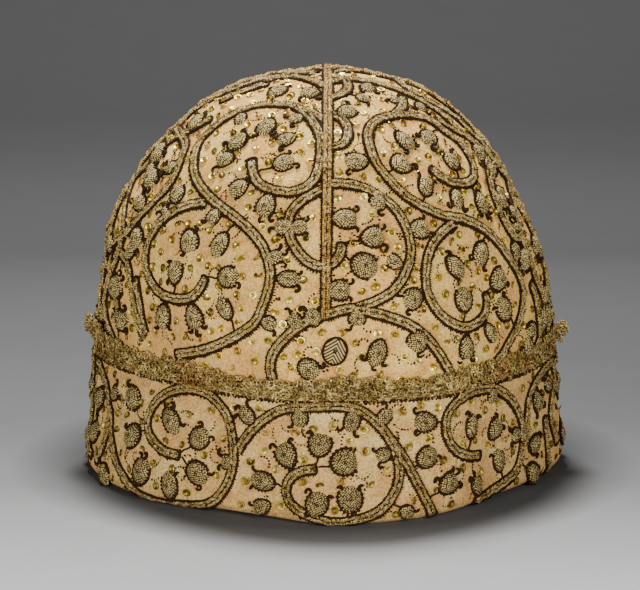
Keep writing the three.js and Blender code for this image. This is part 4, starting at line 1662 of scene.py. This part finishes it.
# Painted shadows on the paper, one to the cap's right and one round its foot: a place, the reach of the
# shade, the reach of its full depth, and its share.
PAINTED_PAPER_SHADOWS = [((0.24, 0.12, 0), 0.34, 0.0, 0.4), ((0, 0, 0), 0.134, 0.106, 0.66)]
PAPER_WIDTH = 6.0
PAPER_FRONT = -3.0
PAPER_BACK = 1.2  # where it starts to bend up
PAPER_BEND = 0.9
PAPER_TOP = 3.2
# Lights: name, place, the place each is aimed at, size in metres, and power in watts.
LIGHTS = [
    ("top", (-0.05, 0.38, 1.18), (0, 0, 0.05), 0.3, 32),
    ("front", (-0.68, -1.27, 0.16), (0, 0, 0.1), 0.5, 18.8),
    ("fill", (0.85, -1.05, 0.5), (0, 0, 0.12), 0.5, 13),
]


def paper_material():
    n = Nodes("studio_paper", 0.85)
    near, far = PAINTED_FLOOR_FALLOFF[0][0], PAINTED_FLOOR_FALLOFF[-1][0]
    # Painted fall-off of light: the grey follows the floor's depth along Y.
    depth = n.span(n.split(n.place())["Y"], near, far)
    grey = n.ramp(depth, [((y - near) / (far - near), tone(g, g, g)) for y, g in PAINTED_FLOOR_FALLOFF])
    grain = n.ramp(n.noise(30 * MM, 2.0), [(0.3, (0.97, 0.97, 0.97)), (0.7, (1.0, 1.0, 1.0))])
    # Painted shadow: the paper is darkened towards near black at each of these places.
    for place, reach, core, share in PAINTED_PAPER_SHADOWS:
        grey = n.mix(n.times(n.near(place, reach, core), share), grey, (0.02, 0.02, 0.02))
    return n.finish(n.tinted(grey, grain))


def make_setting():
    """A sheet of paper that the cap stands on, bent up behind it."""
    bend = [(PAPER_BACK + PAPER_BEND * math.sin(t), PAPER_BEND * (1 - math.cos(t)))
            for t in np.linspace(0.1, 1.5, 12)]
    profile = [(PAPER_FRONT, 0.0), (PAPER_BACK, 0.0), *bend, (PAPER_BACK + PAPER_BEND + 0.08, PAPER_TOP)]
    points = [(x, y, z) for y, z in profile for x in (-PAPER_WIDTH / 2, PAPER_WIDTH / 2)]
    faces = [(2 * k, 2 * k + 1, 2 * k + 3, 2 * k + 2) for k in range(len(profile) - 1)]
    mesh = bpy.data.meshes.new("floor")
    mesh.from_pydata(points, [], faces)
    mesh.materials.append(paper_material())
    for polygon in mesh.polygons:
        polygon.use_smooth = True
    floor = bpy.data.objects.new("floor", mesh)
    bpy.context.scene.collection.objects.link(floor)


def area_light(name, place, aim, size, power):
    """A round soft light."""
    data = bpy.data.lights.new(name, "AREA")
    data.shape = "DISK"
    data.size = size
    data.energy = power
    obj = bpy.data.objects.new(name, data)
    obj.location = place
    obj.rotation_mode = "QUATERNION"
    obj.rotation_quaternion = (Vector(aim) - Vector(place)).to_track_quat("-Z", "Y")
    bpy.context.scene.collection.objects.link(obj)


make_setting()
for light in LIGHTS:
    area_light(*light)
world = bpy.data.worlds.new("world")
bpy.context.scene.world = world
world.use_nodes = True
background = world.node_tree.nodes["Background"]
background.inputs["Color"].default_value = (0.5, 0.5, 0.5, 1)
background.inputs["Strength"].default_value = 0.04
